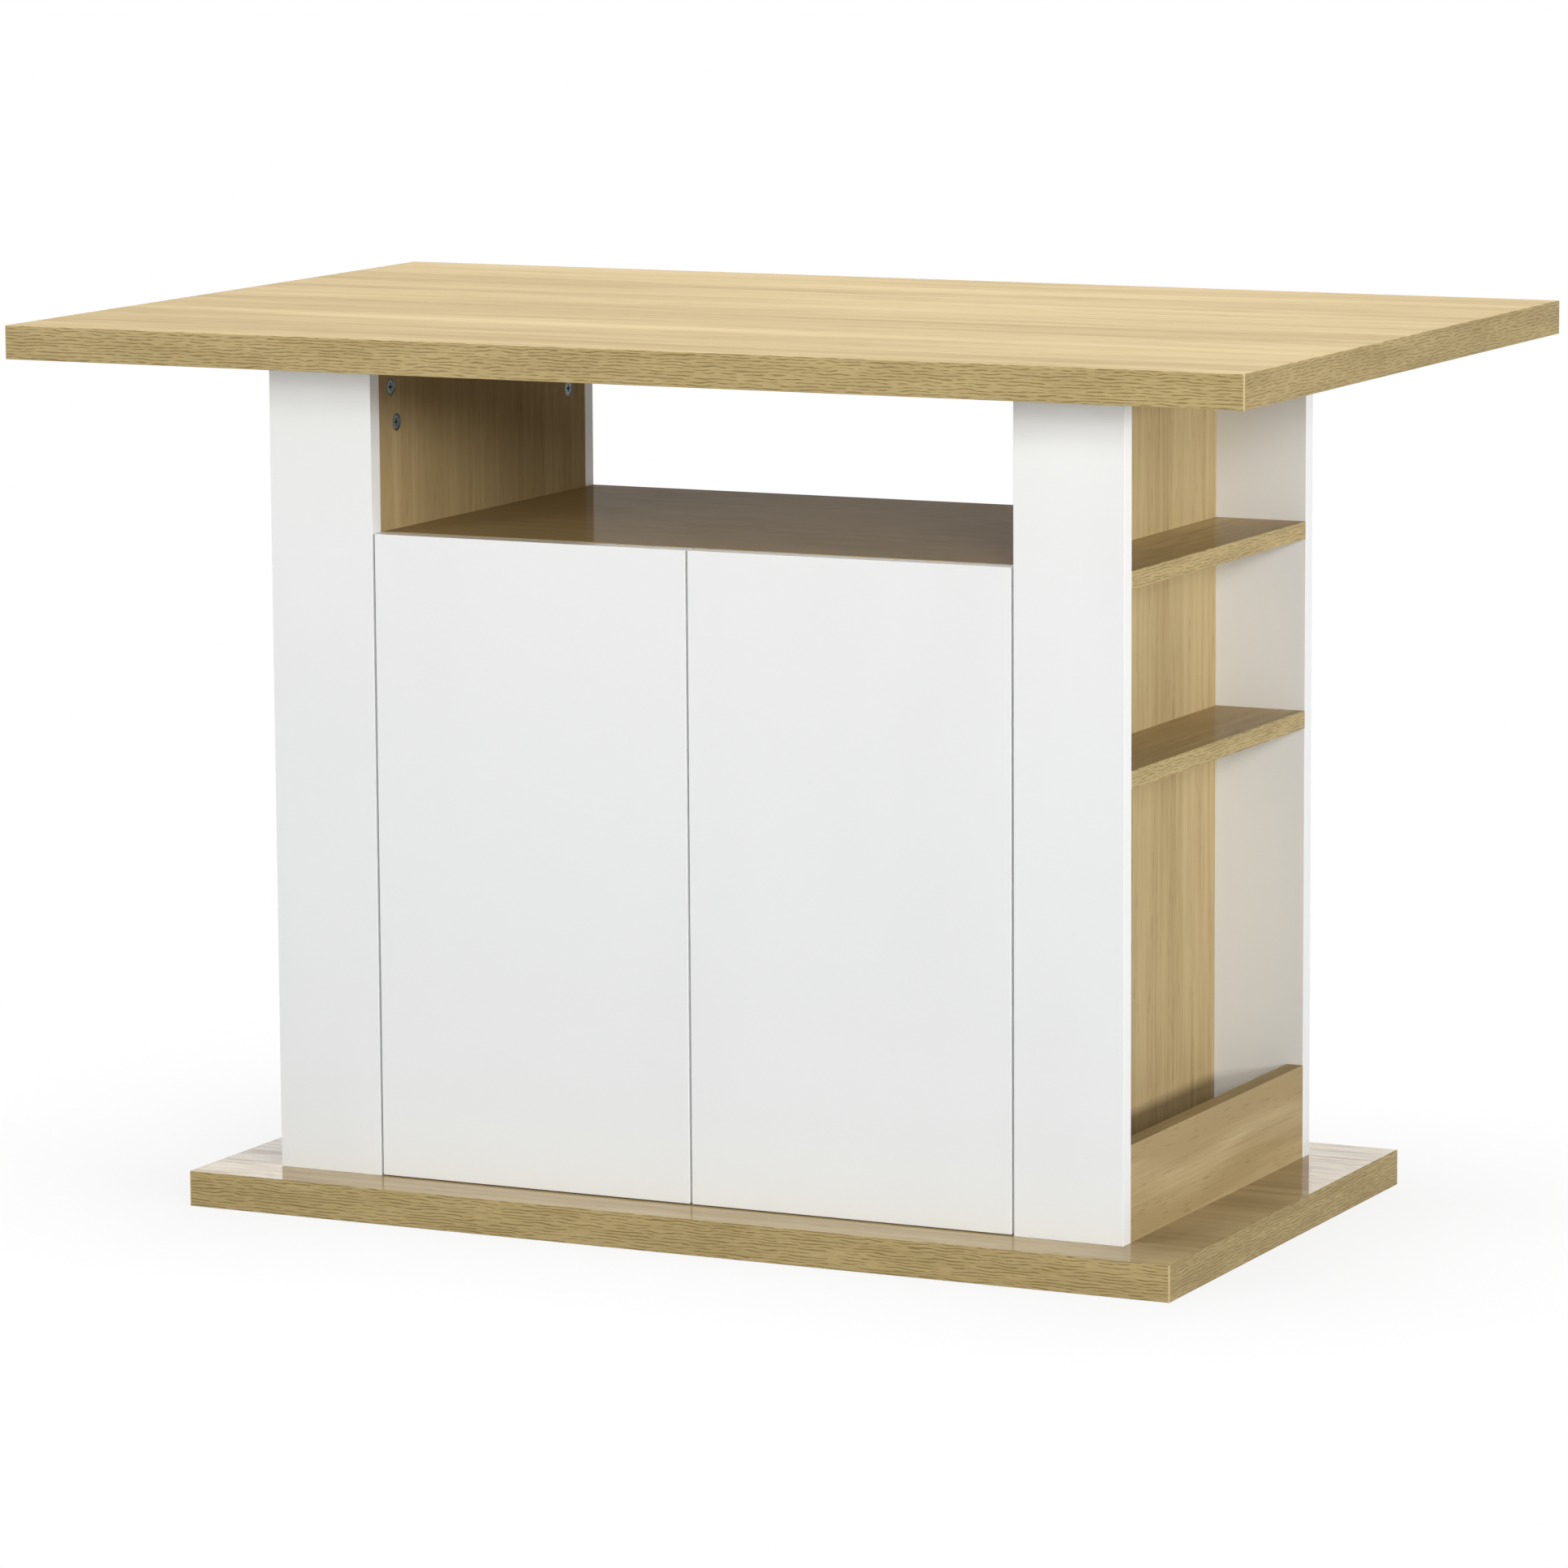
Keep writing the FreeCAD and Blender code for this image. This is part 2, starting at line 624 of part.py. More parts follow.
# The two ends of the table: posts, side panel, shelves, rail and door, each with its hardware
for name, side in SIDES.items():
    outward = OUTWARD[name]
    inward = OPPOSITE[outward]
    locks = []
    bolts = []
    dowels = []
    shelf_screws = []

    post_low, post_high = span(side, half_cupboard, post_outer)
    front_post = Board(
        f"{name}_front_post", (post_low, -half_depth, deck), (post_high, -panel_half_depth, ceiling))
    back_post = Board(
        f"{name}_back_post", (post_low, panel_half_depth, deck), (post_high, half_depth, ceiling))
    panel_low, panel_high = span(side, half_cupboard, panel_outer)
    side_panel = Board(
        f"{name}_side_panel", (panel_low, -panel_half_depth, deck), (panel_high, panel_half_depth, ceiling))
    rail_low, rail_high = span(side, post_outer - mm.board_thickness, post_outer)
    rail = Board(
        f"{name}_shelf_rail",
        (rail_low, -panel_half_depth, deck),
        (rail_high, panel_half_depth, deck + mm.rail_height),
    )
    posts = {"-Y": front_post, "+Y": back_post}
    boards += [front_post, back_post, side_panel, rail]

    # Cam locks of the side panel: two to the top, two to the plinth, two to each post
    panel_face = side * half_cupboard
    for end, post in posts.items():
        sign = -1 if end == "-Y" else 1
        for target, edge, level in (
            (table_top, "+Z", ceiling - mm.cam_setback),
            (plinth, "-Z", deck + mm.cam_setback),
        ):
            point = (panel_face, sign * (panel_half_depth - mm.cam_inset), level)
            cammed(locks, bolts, side_panel, target, point, inward, edge)
        for level in (ceiling - mm.cam_level, deck + mm.cam_level):
            point = (panel_face, sign * (panel_half_depth - mm.cam_setback), level)
            cammed(locks, bolts, side_panel, post, point, inward, end)
        floor_point = (side * (half_cupboard - mm.cam_setback), sign * mm.floor_cam_offset, floor_under)
        cammed(floor_locks, floor_bolts, compartment_floor, side_panel, floor_point, "-Z", outward)

        # Dowels from each post to the top, the plinth and the rail
        post_middle = sign * (half_depth - mm.board_thickness / 2)
        for across in (half_cupboard + mm.post_dowel_inset, post_outer - mm.post_dowel_inset):
            pegged(dowels, plinth, post, (side * across, post_middle, deck), "+Z", mm.dowel_length / 2)
            pegged(dowels, post, table_top, (side * across, post_middle, ceiling), "+Z", mm.dowel_length / 2)
        joint = sign * panel_half_depth
        rail_middle = side * (post_outer - mm.board_thickness / 2)
        for level in (deck + mm.rail_dowel_inset, deck + mm.rail_height - mm.rail_dowel_inset):
            pegged(dowels, post, rail, (rail_middle, joint, level), OPPOSITE[end], mm.dowel_face_depth)

        # Shelf pins in the middle hole of a column of three
        pin_depth = sign * (panel_half_depth - mm.pin_hole_inset)
        for count in (-1, 0, 1):
            hole = (panel_face, pin_depth, pin_level + mm.pin_hole_pitch * count)
            side_panel.bore(hole, outward, mm.pin_hole_radius, mm.pin_hole_depth)
        pin_tip = step((panel_face, pin_depth, pin_level), outward, pin_peg_length)
        pins.append(copy_of(shelf_pin, pin_tip, facing(inward)))

    # End shelves, each with an edge band, two dowels and two screws
    bands = []
    shelf_low, shelf_high = span(side, panel_outer, post_outer - mm.edging_thickness)
    band_low, band_high = span(side, post_outer - mm.edging_thickness, post_outer)
    for place_name, shelf_top in end_shelf_tops.items():
        shelf_under = shelf_top - mm.board_thickness
        shelf_middle = shelf_top - mm.board_thickness / 2
        shelf = Board(
            f"{name}_{place_name}_shelf",
            (shelf_low, -panel_half_depth, shelf_under),
            (shelf_high, panel_half_depth, shelf_top),
            soft_edges=False,
        )
        boards.append(shelf)
        band = block(f"{name}_{place_name}_band", (band_low, -panel_half_depth, shelf_under),
                     (band_high, panel_half_depth, shelf_top))
        bands.append(rounded(band, "edging_round", FACE_EDGES[outward][1::2]))
        peg_across = side * (panel_outer + post_outer) / 2
        for end, post in posts.items():
            sign = -1 if end == "-Y" else 1
            joint = (peg_across, sign * panel_half_depth, shelf_middle)
            pegged(dowels, post, shelf, joint, OPPOSITE[end], mm.dowel_face_depth)
            head = (panel_face, sign * mm.shelf_screw_offset, shelf_middle)
            radius = mm.shelf_screw_radius + mm.fit_clearance
            side_panel.bore(head, outward, radius, mm.board_thickness + mm.overrun)
            side_panel.sink(head, outward, mm.shelf_screw_head_radius + mm.fit_clearance, radius,
                            mm.shelf_screw_head_height)
            depth = mm.shelf_screw_length - mm.board_thickness + mm.bore_end_gap
            shelf.bore(step(head, outward, mm.board_thickness), outward, radius, depth)
            tip = step(head, outward, mm.shelf_screw_length)
            shelf_screws.append(copy_of(shelf_screw, tip, facing(inward)))
    group(f"{name}_shelf_edging", bands)

    # Dowels that hold the cabinet back between the back posts
    back_middle = half_depth - mm.board_thickness / 2
    for level in (deck + mm.back_dowel_inset, floor_under - mm.back_dowel_inset):
        joint = (side * half_cupboard, back_middle, level)
        pegged(back_dowels, cabinet_back, back_post, joint, outward, mm.dowel_length / 2)

    # Door with its hinges
    door_low, door_high = span(side, mm.door_gap / 2, half_cupboard - mm.door_gap)
    door = Board(
        f"{name}_door", (door_low, -half_depth, door_foot), (door_high, -panel_half_depth, floor_top))
    boards.append(door)
    hinge_turn = turned(inward, "+Z" if side < 0 else "-Z")
    hinge_groups = {"cups": hinge_cup, "pins": hinge_pin, "arms": hinge_arm, "plates": hinge_plate}
    hinge_copies = {label: [] for label in hinge_groups}
    cup_screws = []
    plate_screws = []
    pivot_across = half_cupboard - mm.door_gap - mm.pivot_inset
    pivot_along = -half_depth + mm.pivot_depth
    cup_across = half_cupboard - mm.door_gap - mm.cup_centre_inset
    for level in hinge_levels:
        pivot = (side * pivot_across, pivot_along, level)
        for label, pattern in hinge_groups.items():
            hinge_copies[label].append(copy_of(pattern, pivot, hinge_turn))
        door.bore((side * cup_across, -panel_half_depth, level), "-Y", mm.cup_radius, mm.cup_depth)
        for sign in (-1, 1):
            cup_seat = (
                side * cup_across,
                -panel_half_depth + mm.flange_thickness,
                level + sign * mm.cup_screw_spacing / 2,
            )
            screw((door, cup_screws), cup_seat, "+Y", mm.flange_thickness)
            plate_seat = (
                side * (half_cupboard - mm.plate_thickness),
                pivot_along + plate_front + mm.plate_length / 2,
                level + sign * mm.plate_screw_spacing / 2,
            )
            screw((side_panel, plate_screws), plate_seat, inward, mm.plate_thickness)
    for label, copies in hinge_copies.items():
        group(f"{name}_hinge_{label}", copies)
    group(f"{name}_hinge_cup_screws", cup_screws)
    group(f"{name}_hinge_plate_screws", plate_screws)

    # Push latch under the compartment floor, and its strike plate on the door
    latch_middle = side * mm.latch_offset
    half_latch = mm.latch_width / 2
    half_ears = half_latch + mm.latch_ear_width
    ear_front = latch_front + mm.latch_ear_setback
    ear_under = floor_under - mm.latch_ear_thickness
    housing = block(
        f"{name}_latch_body",
        (latch_middle - half_latch, latch_front, floor_under - mm.latch_height),
        (latch_middle + half_latch, latch_front + mm.latch_length, floor_under),
    )
    ears = block(
        f"{name}_latch_ears",
        (latch_middle - half_ears, ear_front, ear_under),
        (latch_middle + half_ears, ear_front + mm.latch_ear_length, floor_under),
    )
    plunger_seat = (latch_middle, latch_front, latch_axis)
    housing_depth = mm.plunger_length - mm.plunger_reach + mm.plunger_travel + mm.bore_end_gap
    latch_tools = [rod(
        f"{name}_plunger_bore", step(plunger_seat, "-Y", mm.overrun), "+Y",
        mm.plunger_radius + mm.running_clearance, housing_depth + mm.overrun,
    )]
    for sign in (-1, 1):
        seat = (
            latch_middle + sign * (half_latch + mm.latch_ear_width / 2),
            ear_front + mm.latch_ear_length / 2,
            ear_under,
        )
        screw((compartment_floor, latch_screws), seat, "-Z", mm.latch_ear_thickness)
        latch_tools.append(rod(
            f"{name}_ear_hole", step(seat, "-Z", mm.overrun), "+Z",
            mm.screw_radius + mm.fit_clearance, mm.latch_ear_thickness + mm.overrun + mm.overrun,
        ))
    latch_blank = joined(f"{name}_latch_blank", [housing, ears])
    node(f"{name}_latch_housing", cut(f"{name}_latch", latch_blank, latch_tools))
    plunger_rear = step(plunger_seat, "+Y", mm.plunger_length - mm.plunger_reach)
    group(f"{name}_latch_plunger", [copy_of(plunger, plunger_rear, facing("-Y"))])

    strike_top = floor_under - mm.strike_top_gap
    strike_foot = strike_top - mm.strike_height
    half_strike = mm.strike_width / 2
    strike_rear = -panel_half_depth + mm.strike_thickness
    strike = block(
        f"{name}_strike_blank",
        (latch_middle - half_strike, -panel_half_depth, strike_foot),
        (latch_middle + half_strike, strike_rear, strike_top),
    )
    strike_screws = []
    strike_seat = (latch_middle, strike_rear, strike_foot + mm.strike_screw_inset)
    screw((door, strike_screws), strike_seat, "+Y", mm.strike_thickness)
    strike_hole = rod(
        f"{name}_strike_hole", step(strike_seat, "+Y", mm.overrun), "-Y",
        mm.screw_radius + mm.fit_clearance, mm.strike_thickness + mm.overrun + mm.overrun,
    )
    node(f"{name}_strike_plate", cut(f"{name}_strike", strike, [strike_hole]))
    group(f"{name}_strike_screw", strike_screws)

    group(f"{name}_cam_locks", locks)
    group(f"{name}_cam_bolts", bolts)
    group(f"{name}_tower_dowels", dowels)
    group(f"{name}_shelf_screws", shelf_screws)

# Dowels under and over the cabinet back
for count in (-1, 0, 1):
    across = mm.back_dowel_pitch * count
    back_middle = half_depth - mm.board_thickness / 2
    pegged(back_dowels, plinth, cabinet_back, (across, back_middle, deck), "+Z", mm.dowel_length / 2)
    pegged(back_dowels, compartment_floor, cabinet_back, (across, back_middle, floor_under), "-Z",
           mm.dowel_face_depth)

group("floor_cam_locks", floor_locks)
group("floor_cam_bolts", floor_bolts)
group("back_dowels", back_dowels)
group("shelf_pins", pins)
group("latch_screws", latch_screws)
for board in boards:
    board.finish()

doc.recompute()

# Every object has to be sound before anything is written
failed = [piece.Name for piece in doc.Objects if {"Invalid", "Error"} & set(piece.State)]
failed += [label for label, piece in nodes.items() if piece.Shape.isNull() or not piece.Shape.isValid()]
if failed:
    raise RuntimeError("unsound pieces: " + ", ".join(failed))

os.makedirs("parts", exist_ok=True)
for label, piece in sorted(nodes.items()):
    piece.Shape.exportStep(f"parts/{label}.step")
    box = piece.Shape.BoundBox
    print(f"{label}: {len(piece.Shape.Solids)} solids, {piece.Shape.Volume:.0f} mm3, "
          f"x {box.XMin:.1f} to {box.XMax:.1f}, y {box.YMin:.1f} to {box.YMax:.1f}, "
          f"z {box.ZMin:.1f} to {box.ZMax:.1f}")
print(f"{len(nodes)} nodes")
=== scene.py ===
# %% [markdown]
# # A kitchen table with a storage cabinet
#
# The table has a thick oak-effect top. It stands on a white cabinet with two push-open doors, an open
# compartment and open end shelves, and the cabinet stands on a wide oak-effect plinth. The boards, hinges
# and latches come at their real size from the imported model, so this lesson doesn't model the boards again.
# It gives each surface its finish, models the small fittings that would look too plain from near by, and
# sets up the light and the camera.
#
# The first cell loads the imported model. Each board is an object at the origin with its place in its mesh, in
# metres, so a pattern that follows object coordinates stays on its board when a door swings. The finished
# table may not be larger than the real one.

# %% Load the imported table
import json
import math

import bmesh
import bpy
from mathutils import Matrix, Vector


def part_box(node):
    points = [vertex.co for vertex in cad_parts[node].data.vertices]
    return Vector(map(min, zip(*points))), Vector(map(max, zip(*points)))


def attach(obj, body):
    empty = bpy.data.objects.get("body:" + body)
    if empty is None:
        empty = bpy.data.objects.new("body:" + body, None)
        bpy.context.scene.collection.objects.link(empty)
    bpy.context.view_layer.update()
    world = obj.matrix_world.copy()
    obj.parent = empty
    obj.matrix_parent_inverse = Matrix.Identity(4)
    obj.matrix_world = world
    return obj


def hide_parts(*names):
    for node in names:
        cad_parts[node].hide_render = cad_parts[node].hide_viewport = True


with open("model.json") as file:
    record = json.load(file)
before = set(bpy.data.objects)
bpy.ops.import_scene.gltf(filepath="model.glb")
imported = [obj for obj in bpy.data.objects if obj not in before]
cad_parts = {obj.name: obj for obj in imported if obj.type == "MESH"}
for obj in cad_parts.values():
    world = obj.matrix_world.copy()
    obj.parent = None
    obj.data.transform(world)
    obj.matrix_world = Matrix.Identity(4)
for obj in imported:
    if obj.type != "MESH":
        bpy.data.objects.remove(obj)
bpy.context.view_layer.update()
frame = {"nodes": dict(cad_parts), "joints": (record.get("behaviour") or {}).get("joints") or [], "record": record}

# %% [markdown]
# ## Sums made of shader nodes
#
# Every finish here is worked out by shader nodes, with no picture files. Wiring them one at a time is slow to
# write and slower to read, so a small class holds a socket and gives it the usual operators. A sum of sockets
# then adds its own Math nodes. Any other node comes from one method, which sets the node up first and then
# feeds its sockets.

# %% A socket that can be used in sums
class Wire:
    """A socket in a material's node tree, with the operators that the finishes use."""

    def __init__(self, tree, socket=None):
        self.tree = tree
        self.socket = socket

    def node(self, kind, settings=None, inputs=None, output=0):
        """Add a node, set it up, feed its sockets and return one of its outputs."""
        made = self.tree.nodes.new(kind)
        for name, value in (settings or {}).items():
            setattr(made, name, value)
        for name, value in (inputs or {}).items():
            if isinstance(value, Wire):
                self.tree.links.new(value.socket, made.inputs[name])
            else:
                made.inputs[name].default_value = value
        return Wire(self.tree, made.outputs[output] if made.outputs else None)

    def math(self, operation, *values):
        return self.node("ShaderNodeMath", {"operation": operation}, dict(enumerate(values)))

    def __add__(self, other):
        return self.math("ADD", self, other)

    def __radd__(self, other):
        return self.math("ADD", other, self)

    def __sub__(self, other):
        return self.math("SUBTRACT", self, other)

    def __rsub__(self, other):
        return self.math("SUBTRACT", other, self)

    def __mul__(self, other):
        return self.math("MULTIPLY", self, other)

    def __rmul__(self, other):
        return self.math("MULTIPLY", other, self)

    def __gt__(self, other):
        return self.math("GREATER_THAN", self, other)

    def __abs__(self):
        return self.math("ABSOLUTE", self)


print("a sum of sockets adds its own Math nodes")

# %% [markdown]
# ## Building blocks of the finishes
#
# Wood grain, embossing and the faint unevenness of paint are all noise, drawn out along one direction and
# left fine across it. A strand's size is its length and its width in metres, so it can be checked against a
# real board. Two more blocks turn a value into a soft mask and mix two colours. The rest make a bump and a
# wave, take a vector apart and find the rounded edges of boards.

# %% Strands, masks and tints
X, Y, Z = range(3)
MEAN = 0.5
SEED_SHIFT = (1.0, 1.7, 0.6)


def strands(place, axis, size, seed, detail=2.0, wander=0.0):
    """Noise about MEAN, drawn out along one axis in strands of about this length and width."""
    length, width = size
    stretch = [1 / width] * 3
    stretch[axis] = 1 / length
    shift = [share * seed for share in SEED_SHIFT]
    drawn = place.node("ShaderNodeVectorMath", {"operation": "MULTIPLY_ADD"},
                       {0: place, 1: stretch, 2: shift})
    return place.node("ShaderNodeTexNoise", None,
                      {"Vector": drawn, "Scale": 1.0, "Detail": detail, "Distortion": wander}, "Fac")


def between(value, low, high):
    """A soft mask: 0 below low, 1 above high."""
    return value.node("ShaderNodeMapRange", {"interpolation_type": "SMOOTHSTEP"},
                      {"Value": value, "From Min": low, "From Max": high})


def tint(first, second, share):
    """The first colour with a share of the second."""
    return share.node("ShaderNodeMix", {"data_type": "RGBA"}, {0: share, 6: first, 7: second}, 2)


def relief(height, depth):
    """A bump of this depth in metres."""
    return height.node("ShaderNodeBump", None, {"Height": height, "Distance": depth, "Strength": 1.0})


def waves(turns):
    """A wave that goes from -1 to 1 and back in each turn."""
    return turns.math("SINE", turns * (2 * math.pi))


def axes(vector):
    """The three numbers of a vector."""
    return [vector.node("ShaderNodeSeparateXYZ", None, {0: vector}, axis) for axis in "XYZ"]


def arris(facing):
    """How far a surface is turned from the nearest axis, which marks the rounded edges of boards."""
    x, y, z = (abs(part) for part in axes(facing))
    return 1 - x.math("MAXIMUM", x.math("MAXIMUM", x, y), z)


# %% Materials
def finish(name, recipe, **constants):
    """A material whose varying sockets come from a recipe, and whose other sockets are constants."""
    material = bpy.data.materials.new(name)
    material.use_nodes = True
    material.node_tree.nodes.clear()
    start = Wire(material.node_tree)
    place = start.node("ShaderNodeTexCoord", output="Object")
    facing = start.node("ShaderNodeTexCoord", output="Normal")
    sockets = {key.replace("_", " "): value for key, value in constants.items()}
    shader = start.node("ShaderNodeBsdfPrincipled", None, {**sockets, **recipe(place, facing)})
    start.node("ShaderNodeOutputMaterial", None, {"Surface": shader})
    print("finish", name, "has", len(material.node_tree.nodes), "nodes")
    return material


def dress(material, *names):
    """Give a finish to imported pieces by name."""
    for name in names:
        for slot in frame["nodes"][name].material_slots:
            slot.material = material
    print(material.name, "on", ", ".join(names))


# %% [markdown]
# ## Oak-effect boards
#
# The boards are faced with a printed oak paper under clear resin. A real plank shows its figure at several
# scales, and the print copies them: wide light and dark bands, long streaks, fine fibres, short dark pores
# and, here and there, the pointed arches of a plank sawn off the middle of the log. Each of these is one
# layer of strands along the grain. The arches are rings: a wave across the board whose lines are pushed
# sideways by slow noise. A picture of oak would give more detail, but it would repeat and would need
# unwrapping, and these layers never repeat. The resin is a coat, and its weight sets how much a board
# mirrors. The weight follows the fibres, so a reflection is streaked along the grain.

# %% Oak boards
OAK_LIGHT = (0.545, 0.425, 0.232, 1)
OAK_DARK = (0.390, 0.288, 0.140, 1)
OAK_PORE = (0.205, 0.135, 0.055, 1)
BANDS, STREAKS, FIBRES = (0.90, 0.060), (0.32, 0.009), (0.07, 0.0016)
RING_DRIFT, PORES = (0.50, 0.110), (0.022, 0.0013)
RINGS_PER_METRE, RINGS_PUSHED = 34, 6.0
STREAK_SHARE, FIBRE_SHARE, PORE_SHARE = 0.9, 0.7, 0.55
PORE_RANGE, PORE_STREAKS = (0.62, 0.74), (0.60, 0.40)
OAK_ROUGH, FIBRE_ROUGH, PORE_ROUGH = 0.40, 0.12, 0.15
GLOSS_STREAKS, PORE_DULL, OAK_EDGE_PAINTED_HIGHLIGHT = 1.8, 0.5, 1.5
GRAIN_DEPTH, PORE_HOLLOW = 0.00006, 0.8


def oak_tone(place, grain, seed, tone, band_share, ring_share):
    """How light the oak is at a place, with the mask of its pores and its fibres."""
    bands = strands(place, grain, BANDS, seed, detail=2.0, wander=0.2)
    streaks = strands(place, grain, STREAKS, seed + 4, detail=3.0)
    fibres = strands(place, grain, FIBRES, seed + 9)
    drift = strands(place, grain, RING_DRIFT, seed + 2, detail=1.0)
    ticks = strands(place, grain, PORES, seed + 6, detail=1.0)
    across = axes(place)[Y if grain == X else X]
    if grain == Y:
        across = axes(place)[Z] + across
    rings = waves(across * RINGS_PER_METRE + drift * RINGS_PUSHED)
    tone = tone + band_share * (bands - MEAN) + ring_share * rings
    tone = tone + STREAK_SHARE * (streaks - MEAN) + FIBRE_SHARE * (fibres - MEAN)
    pores = between(ticks, *PORE_RANGE) * between(streaks, *PORE_STREAKS)
    return tone, pores, fibres


def oak_board(name, grain, seed, resin, tone=0.5, band_share=1.4, ring_share=0.05):
    """Oak-effect paper with the grain along one axis, under resin of a coat weight and roughness."""
    weight, roughness = resin

    def recipe(place, facing):
        lightness, pores, fibres = oak_tone(place, grain, seed, tone, band_share, ring_share)
        colour = tint(OAK_DARK, OAK_LIGHT, between(lightness, 0.0, 1.0))
        colour = tint(colour, OAK_PORE, PORE_SHARE * pores)
        return {
            # Rounded edges get a share of the light oak colour: a painted highlight along the arrises.
            "Base Color": tint(colour, OAK_LIGHT, OAK_EDGE_PAINTED_HIGHLIGHT * arris(facing)),
            "Roughness": OAK_ROUGH + FIBRE_ROUGH * (fibres - MEAN) + PORE_ROUGH * pores,
            "Coat Weight": weight * (1 + GLOSS_STREAKS * (fibres - MEAN) - PORE_DULL * pores),
            "Normal": relief(fibres - PORE_HOLLOW * pores, GRAIN_DEPTH),
        }
    return finish(name, recipe, Specular_IOR_Level=0.0, Coat_Roughness=roughness)


SATIN = (0.20, 0.22)
dress(oak_board("oak table top", X, 3.1, SATIN), "table_top")

# %% The other oak boards
GLOSSY, DULL, MATT, POLISHED = (0.50, 0.06), (0.14, 0.08), (0.06, 0.30), (0.34, 0.16)
dress(oak_board("oak plinth", X, 41.7, GLOSSY), "plinth")
# The compartment floor has the darkest tone, which is painted shade for the dim inside of the compartment.
dress(oak_board("oak compartment floor", X, 17.3, DULL, tone=0.0), "compartment_floor")
dress(oak_board("oak inner shelf", X, 23.9, SATIN), "inner_shelf")
# The left panel's darker tone is painted shade: the face of it that shows is the shaded wall inside the
# compartment.
for side, seed, tone in (("left", 5.3, 0.22), ("right", 12.1, 0.52)):
    panel = oak_board(f"oak {side} side panel", Z, seed, MATT, tone, band_share=0.9, ring_share=0.03)
    dress(panel, f"{side}_side_panel")
    rail = oak_board(f"oak {side} rail", Y, seed + 30, SATIN, tone=0.15, ring_share=0.22)
    dress(rail, f"{side}_shelf_rail")
    end_shelves = oak_board(f"oak {side} end shelves", Y, seed + 50, POLISHED, tone=0.15)
    dress(end_shelves, f"{side}_upper_shelf", f"{side}_lower_shelf")

# %% [markdown]
# ## Embossed edge bands
#
# The edges of the top, the plinth and the end shelves are covered with a thin plastic band. It is embossed
# with short wavy dashes along the edge, which catch the light and make the edges look darker and rougher
# than the faces. The dashes are grooves a few millimetres apart: a wave across the edge, pushed about by one
# layer of noise and broken off by another. They press the surface in as well as darkening it. The front band
# runs along X and the end bands along Y, so the face's own direction chooses which of the two patterns
# shows. The end bands are also painted darker. This is painted shade, for the shading of their embossing
# where they are seen at a low angle. Where two bands meet at a corner, a thin light line is painted on: a
# painted highlight of the rounded corner.

# %% Edge bands
BAND_LIGHT = (0.500, 0.384, 0.176, 1)
BAND_DARK = (0.245, 0.175, 0.062, 1)
BAND_CORNER_HIGHLIGHT = (0.560, 0.440, 0.235, 1)
DASH_PITCH, DASHES_PUSHED = 0.0026, 1.7
DASH_DRIFT, DASH_BREAKS = (0.022, 0.0070), (0.012, 0.0016)
DASH_LINES, DASH_ZONES = (0.014, 0.0006), (0.110, 0.0120)
GROOVE_RANGE, BREAK_RANGE = (0.0, 0.9), (0.36, 0.56)
BAND_TONE, ZONE_SHARE, LINE_SHARE = 0.71, 0.5, 0.6
FRONT_PRESS, END_PRESS = 0.54, 0.42
CORNER_HIGHLIGHT_NEAR, CORNER_HIGHLIGHT_FAR = 0.0016, 0.0008
BAND_ROUGH, RAISED_POLISH = 0.50, 0.10
EMBOSS_DEPTH = 0.00022


def dashes(place, axis, depth):
    """Short wavy dashes along one axis, pressed in by a depth."""
    drift = strands(place, axis, DASH_DRIFT, seed=8.8, detail=1.0)
    breaks = strands(place, axis, DASH_BREAKS, seed=5.1, detail=1.0)
    lines = strands(place, axis, DASH_LINES, seed=2.6, detail=1.0)
    zones = strands(place, axis, DASH_ZONES, seed=3.7, detail=1.0)
    across = waves(axes(place)[Z] * (1 / DASH_PITCH) + DASHES_PUSHED * drift)
    grooves = between(across, *GROOVE_RANGE) * between(breaks, *BREAK_RANGE)
    return BAND_TONE - depth * grooves + ZONE_SHARE * (zones - MEAN) + LINE_SHARE * (lines - MEAN)


def edge_band(name, node, end_painted_shade):
    """Embossed edge band on the outside of a node's box, with painted shade that darkens the ends."""
    low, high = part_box(node)
    centre, half = (low + high) / 2, (high - low) / 2

    def recipe(place, facing):
        x, y, _ = axes(place)
        turn_x, turn_y, _ = (abs(part) for part in axes(facing))
        sideways = turn_x > turn_y
        raised = dashes(place, X, FRONT_PRESS) * (1 - sideways) + dashes(place, Y, END_PRESS) * sideways
        # A thin light line is painted along the corners where two bands meet: a painted highlight of the rounded
        # corner.
        cut = between(abs(x - centre.x), half.x - CORNER_HIGHLIGHT_NEAR, half.x - CORNER_HIGHLIGHT_FAR)
        cut = cut * between(abs(y - centre.y), half.y - CORNER_HIGHLIGHT_NEAR, half.y - CORNER_HIGHLIGHT_FAR)
        # Sideways faces, the end bands, are painted darker here: painted shade of bands seen at a low angle.
        colour = tint(BAND_DARK, BAND_LIGHT, between(raised - end_painted_shade * sideways, 0.0, 1.0))
        return {
            "Base Color": tint(colour, BAND_CORNER_HIGHLIGHT, cut),
            "Roughness": BAND_ROUGH - RAISED_POLISH * raised,
            "Normal": relief(raised * (1 - cut), EMBOSS_DEPTH),
        }
    return finish(name, recipe, Specular_IOR_Level=0.15)


for node in ("table_top_edging", "plinth_edging"):
    dress(edge_band(node.replace("_", " "), node, end_painted_shade=0.22), node)
for node in ("left_shelf_edging", "right_shelf_edging"):
    dress(edge_band(node.replace("_", " "), node, end_painted_shade=0.05), node)

